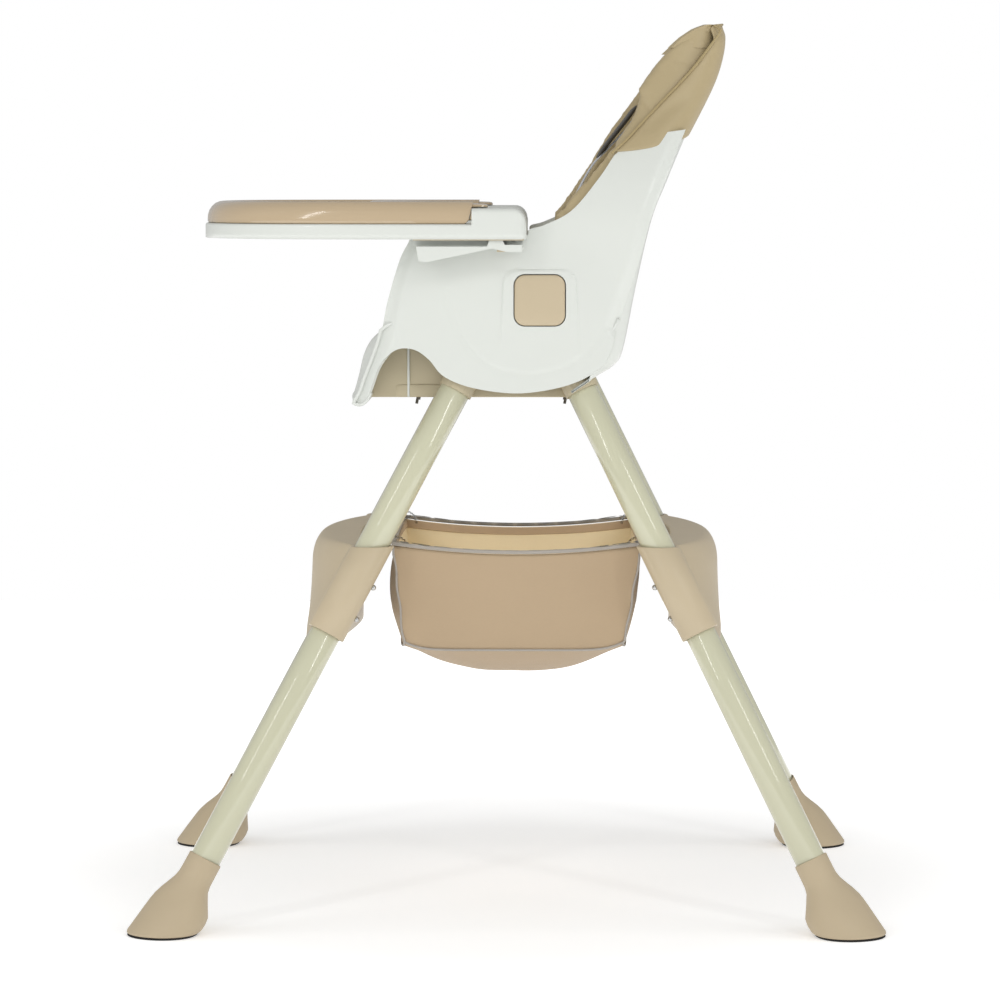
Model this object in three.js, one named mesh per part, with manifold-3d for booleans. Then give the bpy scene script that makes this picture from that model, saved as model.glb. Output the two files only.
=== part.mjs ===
// Baby high chair: moulded seat shell on four splayed tube legs, with a sliding tray and a basket.
// Millimetres, +Z up, the child faces -Y, and the origin is on the floor under the middle.
import * as THREE from "three";
import { mergeVertices } from "three/addons/utils/BufferGeometryUtils.js";
import Module from "manifold-3d";

const wasm = await Module();
wasm.setup();

// ---------------------------------------------------------------- driving dimensions
const GAP = 0.4; // running gap between touching pieces

const LEG = { topZ: 600, topX: 165, frontTopY: -60, rearTopY: 86, footX: 287.5, footY: 381 };
const TUBE = { outer: 17.5, inner: 16, sides: 16 };
const LEG_ENDS = { frontTop: 624, rearTop: 607, upperEnd: 380, lowerStart: 374, lowerEnd: 30 };

const SLEEVE = { outer: 22, bore: 18, top: 428, bottom: 331 };
const BRACKET = { frontBulge: 231, rearBulge: 249, bottom: 320, shoulder: 15, wall: 3.5 };
const PIN = { upperZ: 392, lowerZ: 357, start: 12, length: 14.5, ball: 3.3, shaft: 2.6, hole: 3.8 };

const FOOT = { top: 83, base: 2.9, reach: 42, shift: 5, sides: 18, roundX: 0.9 };
const PAD = { height: 2.5, radius: 39.5 };

const SHELL = { halfWidth: 190, wall: 4, corner: 60, low: 590, high: 1030, front: -380, steps: 12 };
const CUP = { flat: 94.5, rise: 24 };
const FLANGE = { outer: 212.6, low: 774.5, high: 778.5, front: -106, rear: 20 };
const BUTTON = { y: 37, z: 705, half: 28.75, round: 12, face: 191, back: 178 };
const HOUSING = { half: 33, floor: 170, skin: 2.5 };

const BASE = { halfWidth: 150, front: -157, rear: 100, low: 593.5, high: 665, wall: 3, socket: 20 };

const SCREW = { x: 40, proud: 14, lean: 4, radius: 1.7 };

const TRAY = { halfWidth: 235, front: 353, middle: 130, rear: 22, low: 774, rim: 791, armTop: 808.5, skin: 3 };
const ARM = { inner: 165, step: -42, pocketIn: 183, pocketOut: 232, pocketTop: 788, pocketFront: -112 };
const BELLY = { depth: 80, rear: -60 };
const INSERT = { low: 791.4, floor: 797, top: 816, rear: -44, lip: -21, inset: 2.5, rim: 10 };
const RAIL = { front: -106, rear: 6.5, low: 766.5, lip: 772, in: 194, webIn: 213.5, webOut: 216.5 };
const LEVER = { in: 218, out: 231, pivotY: -12, pivotZ: 779, boss: 5, stub: 2.5 };

const RIM = { halfX: 170, front: -129, rear: 152, z: 428, sag: 10 };
const BASKET = { bottomX: 148, bottomFront: -117, bottomRear: 132, seam: 303, sag: 41, cloth: 2.5 };

const PIVOT_HOLE = LEVER.stub + 0.3;

// ---------------------------------------------------------------- colours
const FINISH = {
  shell: { color: 0xe2e5df, roughness: 0.35, metalness: 0 },
  tan: { color: 0xc1b59a, roughness: 0.4, metalness: 0 },
  base: { color: 0xaaa28b, roughness: 0.5, metalness: 0 },
  insert: { color: 0xc7b69a, roughness: 0.2, metalness: 0 },
  tube: { color: 0xcac8b1, roughness: 0.25, metalness: 0 },
  foot: { color: 0xbbad93, roughness: 0.5, metalness: 0 },
  rubber: { color: 0x22211f, roughness: 0.9, metalness: 0 },
  steel: { color: 0xb8b8b8, roughness: 0.25, metalness: 1 },
  leather: { color: 0xaa9d7d, roughness: 0.45, metalness: 0 },
  cloth: { color: 0xbaa68d, roughness: 0.85, metalness: 0 },
  webbing: { color: 0xcdd0d4, roughness: 0.8, metalness: 0 },
  padCloth: { color: 0x46443c, roughness: 0.9, metalness: 0 },
  buckle: { color: 0x33332f, roughness: 0.4, metalness: 0 },
};

// ---------------------------------------------------------------- solids and meshes
const X = new THREE.Vector3(1, 0, 0);
const Y = new THREE.Vector3(0, 1, 0);
const Z = new THREE.Vector3(0, 0, 1);

function solid(geometry) {
  const bare = geometry.index ? geometry.toNonIndexed() : geometry.clone();
  bare.deleteAttribute("normal");
  bare.deleteAttribute("uv");
  const merged = mergeVertices(bare, 1e-4);
  const mesh = new wasm.Mesh({
    numProp: 3,
    vertProperties: merged.attributes.position.array,
    triVerts: new Uint32Array(merged.index.array),
  });
  return new wasm.Manifold(mesh);
}

function join(...solids) {
  return solids.reduce((all, one) => all.add(one));
}

function cut(body, ...tools) {
  return tools.reduce((left, tool) => left.subtract(tool), body);
}

const chair = new THREE.Group();

function place(name, body, finish) {
  const { vertProperties, triVerts } = body.getMesh();
  const geometry = new THREE.BufferGeometry();
  geometry.setAttribute("position", new THREE.BufferAttribute(new Float32Array(vertProperties), 3));
  geometry.setIndex(new THREE.BufferAttribute(new Uint32Array(triVerts), 1));
  geometry.computeVertexNormals();
  const mesh = new THREE.Mesh(geometry, new THREE.MeshStandardMaterial(finish));
  mesh.name = name;
  chair.add(mesh);
}

// ---------------------------------------------------------------- shapes
const pair = ([a, b]) => new THREE.Vector2(a, b);
const smooth = (points, count) => new THREE.SplineCurve(points.map(pair)).getPoints(count);
const shapeOf = (points) => new THREE.Shape(points.map((p) => (Array.isArray(p) ? pair(p) : p)));

function extrude(shape, from, to, steps = 1, curveSegments = 4) {
  const settings = { depth: to - from, steps, bevelEnabled: false, curveSegments };
  return new THREE.ExtrudeGeometry(shape, settings).translate(0, 0, from);
}

// A side outline, drawn in (Y, Z), swept along X.
function sweepX(shape, from, to, steps, curveSegments) {
  const turn = new THREE.Matrix4().makeBasis(Y, Z, X);
  return extrude(shape, from, to, steps, curveSegments).applyMatrix4(turn);
}

function box(low, high) {
  const size = high.map((h, i) => h - low[i]);
  const middle = high.map((h, i) => (h + low[i]) / 2);
  return solid(new THREE.BoxGeometry(...size).translate(...middle));
}

// The same box on the left (+X) or right (-X) side.
function sideBox(side, [x0, y0, z0], [x1, y1, z1]) {
  const [a, b] = side > 0 ? [x0, x1] : [-x1, -x0];
  return box([a, y0, z0], [b, y1, z1]);
}

function roundedSquare(y, z, half, round) {
  const s = new THREE.Shape();
  const i = half - round;
  s.absarc(y + i, z + i, round, 0, Math.PI / 2);
  s.absarc(y - i, z + i, round, Math.PI / 2, Math.PI);
  s.absarc(y - i, z - i, round, Math.PI, Math.PI * 1.5);
  s.absarc(y + i, z - i, round, Math.PI * 1.5, Math.PI * 2);
  return s;
}

function deform(geometry, change) {
  const p = geometry.attributes.position;
  for (let i = 0; i < p.count; i += 1) {
    const [x, y, z] = change(p.getX(i), p.getY(i), p.getZ(i));
    p.setXYZ(i, x, y, z);
  }
  return geometry;
}

function mirrored(side, body) {
  return side > 0 ? body : body.mirror([1, 0, 0]);
}

// A round body with its own (radius, height) profile, stood on the line from a to b.
function turned(profile, sides, a, b) {
  const direction = b.clone().sub(a).normalize();
  const turn = new THREE.Quaternion().setFromUnitVectors(Y, direction);
  const lathe = new THREE.LatheGeometry(profile.map(pair), sides);
  return solid(lathe.applyQuaternion(turn).translate(a.x, a.y, a.z));
}

function rod(a, b, radius, sides) {
  return turned([[0, 0], [radius, 0], [radius, a.distanceTo(b)], [0, a.distanceTo(b)]], sides, a, b);
}

function pipe(a, b, outer, inner, sides) {
  const length = a.distanceTo(b);
  return turned([[inner, 0], [outer, 0], [outer, length], [inner, length], [inner, 0]], sides, a, b);
}

function step(low, high, value) {
  return THREE.MathUtils.smoothstep(value, low, high);
}

function along(table, key) {
  const i = Math.max(1, table.findIndex(([k]) => k >= key));
  const [[k0, v0], [k1, v1]] = [table[i - 1], table[i]];
  return v0 + ((v1 - v0) * (key - k0)) / (k1 - k0);
}

// ---------------------------------------------------------------- legs
const LEGS = [
  { name: "front_left", side: 1, end: -1 },
  { name: "front_right", side: -1, end: -1 },
  { name: "rear_left", side: 1, end: 1 },
  { name: "rear_right", side: -1, end: 1 },
];

function legPoint({ side, end }, z) {
  const share = (LEG.topZ - z) / LEG.topZ;
  const topY = end < 0 ? LEG.frontTopY : LEG.rearTopY;
  const x = LEG.topX + (LEG.footX - LEG.topX) * share;
  return new THREE.Vector3(side * x, topY + (end * LEG.footY - topY) * share, z);
}

function legDirection(leg) {
  return legPoint(leg, 0).sub(legPoint(leg, LEG.topZ)).normalize();
}

// The pins point from the tube's axis towards the middle of the chair, square to the tube.
function pinDirection(leg) {
  const down = legDirection(leg);
  const inwards = new THREE.Vector3(0, -leg.end, 0);
  return inwards.addScaledVector(down, -inwards.dot(down)).normalize();
}

function pinHole(leg, z) {
  const from = legPoint(leg, z);
  return rod(from, from.clone().addScaledVector(pinDirection(leg), 40), PIN.hole, 6);
}

function makeLegs() {
  for (const leg of LEGS) {
    const top = legPoint(leg, leg.end < 0 ? LEG_ENDS.frontTop : LEG_ENDS.rearTop);
    const upper = pipe(top, legPoint(leg, LEG_ENDS.upperEnd), TUBE.outer, TUBE.inner, TUBE.sides);
    const [start, end] = [legPoint(leg, LEG_ENDS.lowerStart), legPoint(leg, LEG_ENDS.lowerEnd)];
    const lower = pipe(start, end, TUBE.outer, TUBE.inner, TUBE.sides);
    place(`upper_leg_${leg.name}`, cut(upper, pinHole(leg, PIN.upperZ)), FINISH.tube);
    place(`lower_leg_${leg.name}`, cut(lower, pinHole(leg, PIN.lowerZ)), FINISH.tube);
  }
}

function makePins() {
  const { shaft, ball, length } = PIN;
  const profile = [
    [0, 0],
    [shaft, 0],
    [shaft, length - 6.4],
    [ball, length - 4.8],
    [ball, length - 2.6],
    [ball * 0.7, length - 0.8],
    [0, length],
  ];
  for (const leg of LEGS) {
    for (const [level, z] of [["upper", PIN.upperZ], ["lower", PIN.lowerZ]]) {
      const from = legPoint(leg, z).addScaledVector(pinDirection(leg), PIN.start);
      const to = from.clone().add(pinDirection(leg));
      place(`${level}_pin_${leg.name}`, turned(profile, 8, from, to), FINISH.steel);
    }
  }
}

// ---------------------------------------------------------------- ring brackets
// The crescent's ends follow the legs as they splay, and its middle stays upright.
function crescent(end, bulge, grow, low, high) {
  const atTop = legPoint({ side: 1, end }, SLEEVE.top);
  const outerY = bulge - grow;
  const innerY = Math.abs(atTop.y) - 18 + grow;
  const half = atTop.x + 6;
  const bow = (from, y0, y1) =>
    Array.from({ length: 9 }, (_, i) => {
      const t = (i / 8) * 2 - 1;
      return [from * t * half, end * (y0 + (y1 - y0) * (1 - Math.abs(t) ** 2.2))];
    });
  const outer = bow(end, Math.abs(atTop.y) + 17 - grow, outerY);
  const inner = bow(-end, innerY, innerY + (outerY - innerY) * 0.25);
  const slab = extrude(shapeOf([...inner, ...outer].reverse()), low, high, 3);
  const splay = (LEG.footX - LEG.topX) / LEG.topZ;
  const topY = end < 0 ? LEG.frontTopY : LEG.rearTopY;
  const lean = (LEG.footY - Math.abs(topY)) / LEG.topZ;
  return solid(
    deform(slab, (x, y, z) => {
      const drop = SLEEVE.top - z;
      const share = Math.min(1, (x / atTop.x) ** 2);
      const round = BRACKET.shoulder * (1 - share) * step(400, SLEEVE.top + 4, z);
      return [x * (1 + (splay * drop) / atTop.x), y + end * (lean * drop * share - round), z];
    }),
  );
}

function makeBrackets() {
  for (const [name, end, bulge] of [["front", -1, BRACKET.frontBulge], ["rear", 1, BRACKET.rearBulge]]) {
    const legs = LEGS.filter((leg) => leg.end === end);
    const above = box([-400, -400, SLEEVE.top], [400, 400, SLEEVE.top + 90]);
    const wall = crescent(end, bulge, 0, BRACKET.bottom, SLEEVE.top);
    const hollow = crescent(end, bulge, BRACKET.wall, BRACKET.bottom - 1, SLEEVE.top - BRACKET.wall);
    let bracket = cut(wall, hollow);
    for (const leg of legs) {
      const sleeve = rod(legPoint(leg, 460), legPoint(leg, SLEEVE.bottom), SLEEVE.outer, TUBE.sides);
      bracket = join(bracket, cut(sleeve, above));
    }
    for (const leg of legs) {
      const bore = rod(legPoint(leg, 480), legPoint(leg, 260), SLEEVE.bore, TUBE.sides);
      bracket = cut(bracket, bore, pinHole(leg, PIN.upperZ), pinHole(leg, PIN.lowerZ));
    }
    place(`${name}_ring_bracket`, bracket, FINISH.tan);
  }
}

// ---------------------------------------------------------------- feet
function makeFeet() {
  const profile = [
    [0, FOOT.base],
    [FOOT.reach - 2, FOOT.base],
    [FOOT.reach, 8],
    [FOOT.reach - 1, 16],
    [33, 40],
    [24, 58],
    [22.6, 110],
    [0, 110],
  ];
  for (const leg of LEGS) {
    const hoof = new THREE.LatheGeometry(profile.map(pair), FOOT.sides).rotateX(Math.PI / 2);
    deform(hoof, (x, y, z) => {
      const axis = legPoint(leg, z);
      const low = 1 - step(44, 64, z);
      const narrow = FOOT.roundX * low + 1 - low;
      return [axis.x + x * narrow, axis.y + y + leg.end * FOOT.shift * low, z];
    });
    const [top, down] = [legPoint(leg, FOOT.top), legDirection(leg)];
    const above = rod(top, top.clone().addScaledVector(down, -60), 60, 12);
    const bore = rod(legPoint(leg, 140), legPoint(leg, LEG_ENDS.lowerEnd - 1), SLEEVE.bore, TUBE.sides);
    place(`foot_${leg.name}`, cut(solid(hoof), above, bore), FINISH.foot);
    const pad = new THREE.CylinderGeometry(PAD.radius, PAD.radius, PAD.height, FOOT.sides);
    const at = legPoint(leg, FOOT.base);
    const middleY = at.y + leg.end * FOOT.shift;
    pad.rotateX(Math.PI / 2).scale(FOOT.roundX, 1, 1).translate(at.x, middleY, PAD.height / 2);
    place(`foot_pad_${leg.name}`, solid(pad), FINISH.rubber);
  }
}

// ---------------------------------------------------------------- seat shell
// The outer face of the shell's back, as (height, Y) on the middle line.
const BACK_LINE = [
  [590, 62], [617, 101], [630, 122], [649, 133], [723, 148], [795, 165],
  [840, 183], [891, 205], [950, 233], [984, 244], [1008, 247], [1040, 248],
];

// How much narrower the shell is than at the seat, by height.
function narrowing(z) {
  return 1 - 0.4 * step(780, 1020, z);
}

// A solid that fills the seat bucket, grown (or shrunk, if negative) from the shell's outer face.
function bucket(grow) {
  const w = SHELL.halfWidth + grow;
  const r = SHELL.corner + grow;
  const s = new THREE.Shape();
  s.moveTo(-w, SHELL.front);
  s.lineTo(w, SHELL.front);
  s.absarc(w - r, grow - r, r, 0, Math.PI / 2);
  s.absarc(r - w, grow - r, r, Math.PI / 2, Math.PI);
  const block = extrude(s, SHELL.low, SHELL.high, SHELL.steps, 3);
  return solid(deform(block, (x, y, z) => [x * narrowing(z), y + along(BACK_LINE, z), z]));
}

// The seat's top face and the calf rest's front face, as (Y, Z) on the middle line.
const SEAT_LINE = [
  [-177, 588], [-171, 600], [-166, 618], [-160, 642], [-151, 658], [-140, 665],
  [-128, 666], [-95, 662], [-35, 650], [25, 635], [75, 624], [98, 622], [116, 632], [128, 650],
];
const seatLine = smooth(SEAT_LINE, 16);

// An open line moved sideways, to its right as it runs.
function shifted(line, distance) {
  return line.map((p, i) => {
    const [a, b] = [line[Math.max(0, i - 1)], line[Math.min(line.length - 1, i + 1)]];
    const right = new THREE.Vector2(b.y - a.y, a.x - b.x).normalize();
    return p.clone().addScaledVector(right, distance);
  });
}

// A strip of even thickness on the right of an open line, or lifted off it to its left.
function strip(line, thickness, lift = 0) {
  return new THREE.Shape([...shifted(line, thickness - lift), ...shifted(line, -lift).reverse()]);
}

// The seat is flat in the middle and rises towards the side walls.
function cupped(x, y, z) {
  const share = Math.max(0, Math.abs(x) - CUP.flat) / CUP.flat;
  return [x, y, z + CUP.rise * share * THREE.MathUtils.clamp((y + 140) / 100, 0, 1)];
}

function sweepSeat(shape) {
  return solid(deform(sweepX(shape, -2 * CUP.flat, 2 * CUP.flat, 4), cupped));
}

// The shell's side outline in pieces, as (Y, Z): its front edge going down to the footrest lip, the arch and
// the bottom edge going back, the flat panels' rear edge, the headrest's front edge going down, and the armrest.
const FRONT_EDGE = [
  ...smooth([[-108, 778.5], [-111, 770], [-121, 750], [-134.7, 704], [-141.5, 670], [-150, 646]], 10),
  ...smooth([[-161, 618], [-168, 600], [-175, 587]], 3),
];
const LOWER_EDGE = [
  ...smooth([[-168, 583], [-157, 596], [-146, 626], [-137, 640], [-122, 650], [-104, 649]], 9),
  ...smooth([[-88, 638], [-71, 619], [-38, 606], [12, 600], [61, 607], [95, 621], [114, 640]], 12),
];
const PANEL_REAR = [[124, 674], [147.6, 744], [158, 784]];
const WING_EDGE = smooth([[225, 1008], [203, 1003], [177, 981], [152, 946], [143, 910], [133, 872]], 8);
const ARMREST = [...smooth([[102, 840], [73, 806], [43, 790], [26, 785]], 6), [24, 778.5]];
const REACH = 230;

const topWebSlots = [-1, 1].flatMap((side) =>
  [872, 925].map((z) => sideBox(side, [30, 100, z], [58, 300, z + 7])),
);

function buttonWell(side) {
  const hole = roundedSquare(BUTTON.y, BUTTON.z, BUTTON.half + 0.8, BUTTON.round + 0.8);
  return mirrored(side, solid(sweepX(hole, HOUSING.floor + HOUSING.skin, 200, 1, 4)));
}

function shellFlange(side) {
  const { outer, low, high, front, rear } = FLANGE;
  const strip = sideBox(side, [187, front, low], [outer, rear, high]);
  const notches = [0, 1, 2].map((i) =>
    sideBox(side, [204, 7 - i * 22, low - 1], [outer + 1, 17 - i * 22, low + 2]),
  );
  return cut(strip, ...notches);
}

function makeShell() {
  const outline = [...FRONT_EDGE, ...LOWER_EDGE, [260, 660], [260, 1009], ...WING_EDGE, ...ARMREST];
  const side = solid(sweepX(shapeOf(outline), -REACH, REACH));
  const under = shapeOf([...shifted(seatLine, 1), [300, 650], [300, 560], [-300, 560]]);
  const walls = cut(cut(bucket(0), bucket(-SHELL.wall)).intersect(side), sweepSeat(under));
  const panel = shapeOf([...FRONT_EDGE, ...LOWER_EDGE, ...PANEL_REAR, [60, 786], ...ARMREST.slice(-3)]);
  const pan = sweepSeat(strip(seatLine, SHELL.wall)).intersect(bucket(-1));
  let shell = join(walls, pan);
  for (const s of [1, -1]) {
    const { half, floor } = HOUSING;
    const housing = sideBox(s, [floor, BUTTON.y - half, BUTTON.z - half], [188, BUTTON.y + half, BUTTON.z + half]);
    const skirt = solid(sweepX(panel, SHELL.halfWidth - SHELL.wall, SHELL.halfWidth));
    shell = cut(join(shell, mirrored(s, skirt), housing, shellFlange(s)), buttonWell(s));
  }
  const crotchSlot = box([-14, -32, 600], [14, -26, 700]);
  place("seat_shell", cut(shell, ...topWebSlots, crotchSlot), FINISH.shell);
}

// ---------------------------------------------------------------- side buttons
function makeButtons() {
  for (const [name, s] of [["left", 1], ["right", -1]]) {
    const { y, z, half, round, back, face } = BUTTON;
    const cap = solid(sweepX(roundedSquare(y, z, half, round), back, face, 1, 4));
    const inside = solid(sweepX(roundedSquare(y, z, half - 3, round - 3), back - 1, face - 3.5, 1, 4));
    place(`side_button_${name}`, mirrored(s, cut(cap, inside)), FINISH.tan);
    const coil = new THREE.CatmullRomCurve3(
      Array.from({ length: 25 }, (_, i) => {
        const turn = (i / 6) * Math.PI * 2;
        return new THREE.Vector3(174 + i * 0.29, y + 8 * Math.cos(turn), z + 8 * Math.sin(turn));
      }),
    );
    const wire = new THREE.Shape().absarc(0, 0, 0.7, 0, Math.PI * 2);
    const spring = new THREE.ExtrudeGeometry(wire, { steps: 36, extrudePath: coil, curveSegments: 2 });
    place(`button_spring_${name}`, mirrored(s, solid(spring)), FINISH.steel);
  }
}

// ---------------------------------------------------------------- seat base
const SCREWS = [
  { name: "front_left", side: 1, y: -107 },
  { name: "front_right", side: -1, y: -107 },
  { name: "rear_left", side: 1, y: 66 },
  { name: "rear_right", side: -1, y: 66 },
];

function makeBase() {
  const { halfWidth, front, rear, low, high, wall, socket } = BASE;
  let base = box([-halfWidth, front, low], [halfWidth, rear, high]);
  base = cut(base, box([wall - halfWidth, front + wall, low + wall], [halfWidth - wall, rear - wall, high + 9]));
  for (const leg of LEGS) {
    base = join(base, rod(legPoint(leg, 660), legPoint(leg, 601), socket, TUBE.sides));
  }
  for (const leg of LEGS) {
    base = cut(base, rod(legPoint(leg, 700), legPoint(leg, 560), SLEEVE.bore, TUBE.sides));
  }
  const under = shifted(seatLine, SHELL.wall + 1.5);
  const seat = sweepSeat(shapeOf([...under, [200, 900], [-300, 900], [-300, 560]]));
  for (const { name, side, y } of SCREWS) {
    const tip = new THREE.Vector3(side * SCREW.x, y, low - SCREW.proud);
    const top = new THREE.Vector3(side * SCREW.x, y + SCREW.lean, low + wall + 3);
    base = cut(base, rod(tip, top, SCREW.radius + GAP, 8));
    place(`base_screw_${name}`, rod(tip, top, SCREW.radius, 8), FINISH.steel);
  }
  place("seat_base", cut(base, seat), FINISH.base);
}

// ---------------------------------------------------------------- tray
// The tray's plan: a broad rounded front, two arms, and a hollow for the child's belly.
function trayPlan(inset, rear) {
  const { halfWidth, front, middle } = TRAY;
  const [a, b] = [halfWidth - inset, front - middle - inset];
  const power = 2 / 2.7;
  const nose = Array.from({ length: 25 }, (_, i) => {
    const t = (i / 24) * Math.PI;
    const c = Math.cos(t);
    return [a * Math.sign(c) * Math.abs(c) ** power, -middle - b * Math.sin(t) ** power];
  });
  const [inner, outer] = [ARM.inner + inset, a];
  const end = (s) => [
    [s * outer, rear - 12],
    [s * (outer - 4), rear - 4],
    [s * (outer - 12), rear],
    [s * (inner + 8), rear],
    [s * inner, rear - 8],
  ];
  const belly = Array.from({ length: 15 }, (_, i) => {
    const t = (i / 14) * Math.PI;
    return [-inner * Math.cos(t), BELLY.rear - (BELLY.depth + inset) * Math.sin(t)];
  });
  return shapeOf([...nose, ...end(-1), ...belly, ...end(1).reverse()].reverse());
}

function makeTray() {
  const { low, rim, rear, armTop, skin } = TRAY;
  const { step: armStep, pocketIn, pocketOut, pocketTop, pocketFront } = ARM;
  let tray = solid(extrude(trayPlan(0, rear), low, rim));
  const nose = box([-300, -400, low - 1], [300, pocketFront - 4, rim - skin]);
  tray = cut(tray, solid(extrude(trayPlan(skin, rear), low - 1, rim - skin)).intersect(nose));
  const arms = solid(extrude(trayPlan(0, rear), rim - 2, armTop));
  tray = join(tray, arms.intersect(box([-300, armStep, 700], [300, 100, 900])));
  for (const s of [1, -1]) {
    const pocket = sideBox(s, [pocketIn, pocketFront, low - 1], [pocketOut, rear + 9, pocketTop]);
    const rib = sideBox(s, [RAIL.in, pocketFront + 2, FLANGE.high + 0.7], [210, rear - 4, pocketTop + 1]);
    const wallFrom = new THREE.Vector3(s * (pocketOut - 2), LEVER.pivotY, LEVER.pivotZ);
    const socket = rod(wallFrom, wallFrom.clone().setX(s * (TRAY.halfWidth - 1.2)), PIVOT_HOLE, 10);
    tray = cut(join(cut(tray, pocket), rib), socket);
  }
  place("tray_base", tray, FINISH.shell);
}

function makeInsert() {
  const { low, floor, top, rear, lip, inset, rim } = INSERT;
  const body = solid(extrude(trayPlan(inset, rear), low, top));
  const dish = solid(extrude(trayPlan(inset + rim, rear - rim), floor, top + 1));
  const cup = new THREE.CylinderGeometry(36, 36, 6, 24).rotateX(Math.PI / 2);
  cup.translate(-135, -235, floor);
  let insert = cut(body, dish, solid(cup));
  for (const s of [1, -1]) {
    insert = join(insert, sideBox(s, [ARM.inner + 7, rear - 4, TRAY.armTop + 0.5], [228, lip, TRAY.armTop + 4]));
  }
  place("tray_insert", insert, FINISH.insert);
}

function makeRailsAndLevers() {
  for (const [name, s] of [["left", 1], ["right", -1]]) {
    const { front, rear, low, lip, in: inside, webIn, webOut } = RAIL;
    const web = sideBox(s, [webIn, front, low], [webOut, rear, ARM.pocketTop - GAP]);
    const hook = sideBox(s, [inside, front, low], [webOut, rear, lip]);
    const { pivotY, pivotZ, boss, stub, in: lin, out: lout } = LEVER;
    const pivot = new THREE.Vector3(s * (webIn - 1), pivotY, pivotZ);
    const bore = rod(pivot, pivot.clone().setX(s * (webOut + 1)), PIVOT_HOLE, 10);
    place(`tray_rail_${name}`, cut(join(web, hook), bore), FINISH.shell);

    const outline = [[-101, 766], [-98, 750], [-90, 748.5], [-16, 764], [0, 760], [17, 760], [17, 768], [-2, 768]];
    const plate = solid(sweepX(shapeOf([...outline, [pivotY + boss, pivotZ], [pivotY - boss, pivotZ], [-22, 766]]
      .reverse()), lin, lout));
    const [a, b] = [webIn + 0.6, TRAY.halfWidth - 1.6].map((x) => new THREE.Vector3(s * x, pivotY, pivotZ));
    const stubs = rod(a, b, stub, 10);
    const hub = rod(new THREE.Vector3(s * lin, pivotY, pivotZ), new THREE.Vector3(s * lout, pivotY, pivotZ), boss, 12);
    const tooth = sideBox(s, [202, 9, 762], [lin + 1, 15, FLANGE.low - GAP]);
    place(`release_lever_${name}`, join(mirrored(s, plate), stubs, hub, tooth), FINISH.shell);
  }
}

// ---------------------------------------------------------------- seat liner
function makeCushions() {
  const line = seatLine.filter((p) => p.x > -130 && p.y > 600 && p.x < 100);
  const half = CUP.flat * (5 / 3);
  let seat = solid(deform(sweepX(strip(line, 12, 16), -half, half, 5), cupped));
  for (const s of [1, -1]) {
    const flap = smooth([[-104, 755], [-112, 740], [-117, 715], [-112, 690]], 5);
    const outline = shapeOf([...flap, [84, 650], [84, 755]]);
    seat = join(seat, mirrored(s, solid(sweepX(outline, 153, 168))));
  }
  const clearRear = box([-200, 92, 600], [200, 200, 800]);
  place("seat_cushion", cut(seat, clearRear), FINISH.leather);

  const front = [
    ...smooth([[96, 672], [100, 740], [56, 792], [54, 808], [78, 848], [104, 884]], 10),
    ...smooth([[112, 888], [132, 922], [152, 944], [176, 976], [203, 1000]], 8),
  ];
  const side = solid(sweepX(shapeOf([...front, [300, 1002], [300, 672]].reverse()), -REACH, REACH));
  const liner = cut(bucket(-5.5), bucket(-22)).intersect(side);
  place("back_cushion", liner, FINISH.leather);

  const hoodLine = [[128, 878], [300, 905], [300, 1020], [242, 1020]];
  const hoodSide = solid(sweepX(shapeOf([...hoodLine, ...smooth([[203, 1010], [174, 984], [148, 946], [138, 912]], 6)]),
    -REACH, REACH));
  const lid = box([-230, -200, 400], [230, 400, 1010]);
  const hood = cut(bucket(6), bucket(0.6).intersect(lid)).intersect(hoodSide);
  place("headrest_hood", hood, FINISH.leather);
}

// ---------------------------------------------------------------- harness
function ribbon(points, thickness, low, high, count = 10) {
  return solid(sweepX(strip(smooth(points, count), thickness, thickness / 2), low, high));
}

function makeHarness() {
  for (const [name, s] of [["left", 1], ["right", -1]]) {
    const line = [[182, 926], [156, 922], [137, 898], [121, 872], [104, 850], [62, 790], [28, 736]];
    const strap = ribbon(line, 2, 33, 58, 18);
    place(`shoulder_strap_${name}`, mirrored(s, strap), FINISH.webbing);
    const padLine = [[149, 926], [130, 900], [113, 874], [95, 850], [74, 820]];
    place(`shoulder_pad_${name}`, mirrored(s, ribbon(padLine, 6, 26, 65, 8)), FINISH.padCloth);
    const waist = shapeOf([[26, 6], [60, 20], [120, 62], [140, 84], [142, 82.5], [122, 60], [61, 18], [27, 4]]);
    place(`waist_strap_${name}`, mirrored(s, solid(extrude(waist, 694, 719))), FINISH.webbing);
  }
  place("crotch_strap", ribbon([[-29, 668], [-27, 676], [-20, 686], [-12, 696]], 2, -12.5, 12.5, 6), FINISH.webbing);
  const body = roundedSquare(0, 0, 22, 8);
  const shell = solid(extrude(body, 0, 15)).rotate([90, 0, 0]).translate([0, 12, 718]);
  const well = box([-9, -4, 709], [9, 3, 727]);
  place("harness_buckle", cut(shell, well), FINISH.buckle);
  place("buckle_button", box([-8.4, -5, 709.6], [8.4, -1, 726.4]), FINISH.steel);
}

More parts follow.
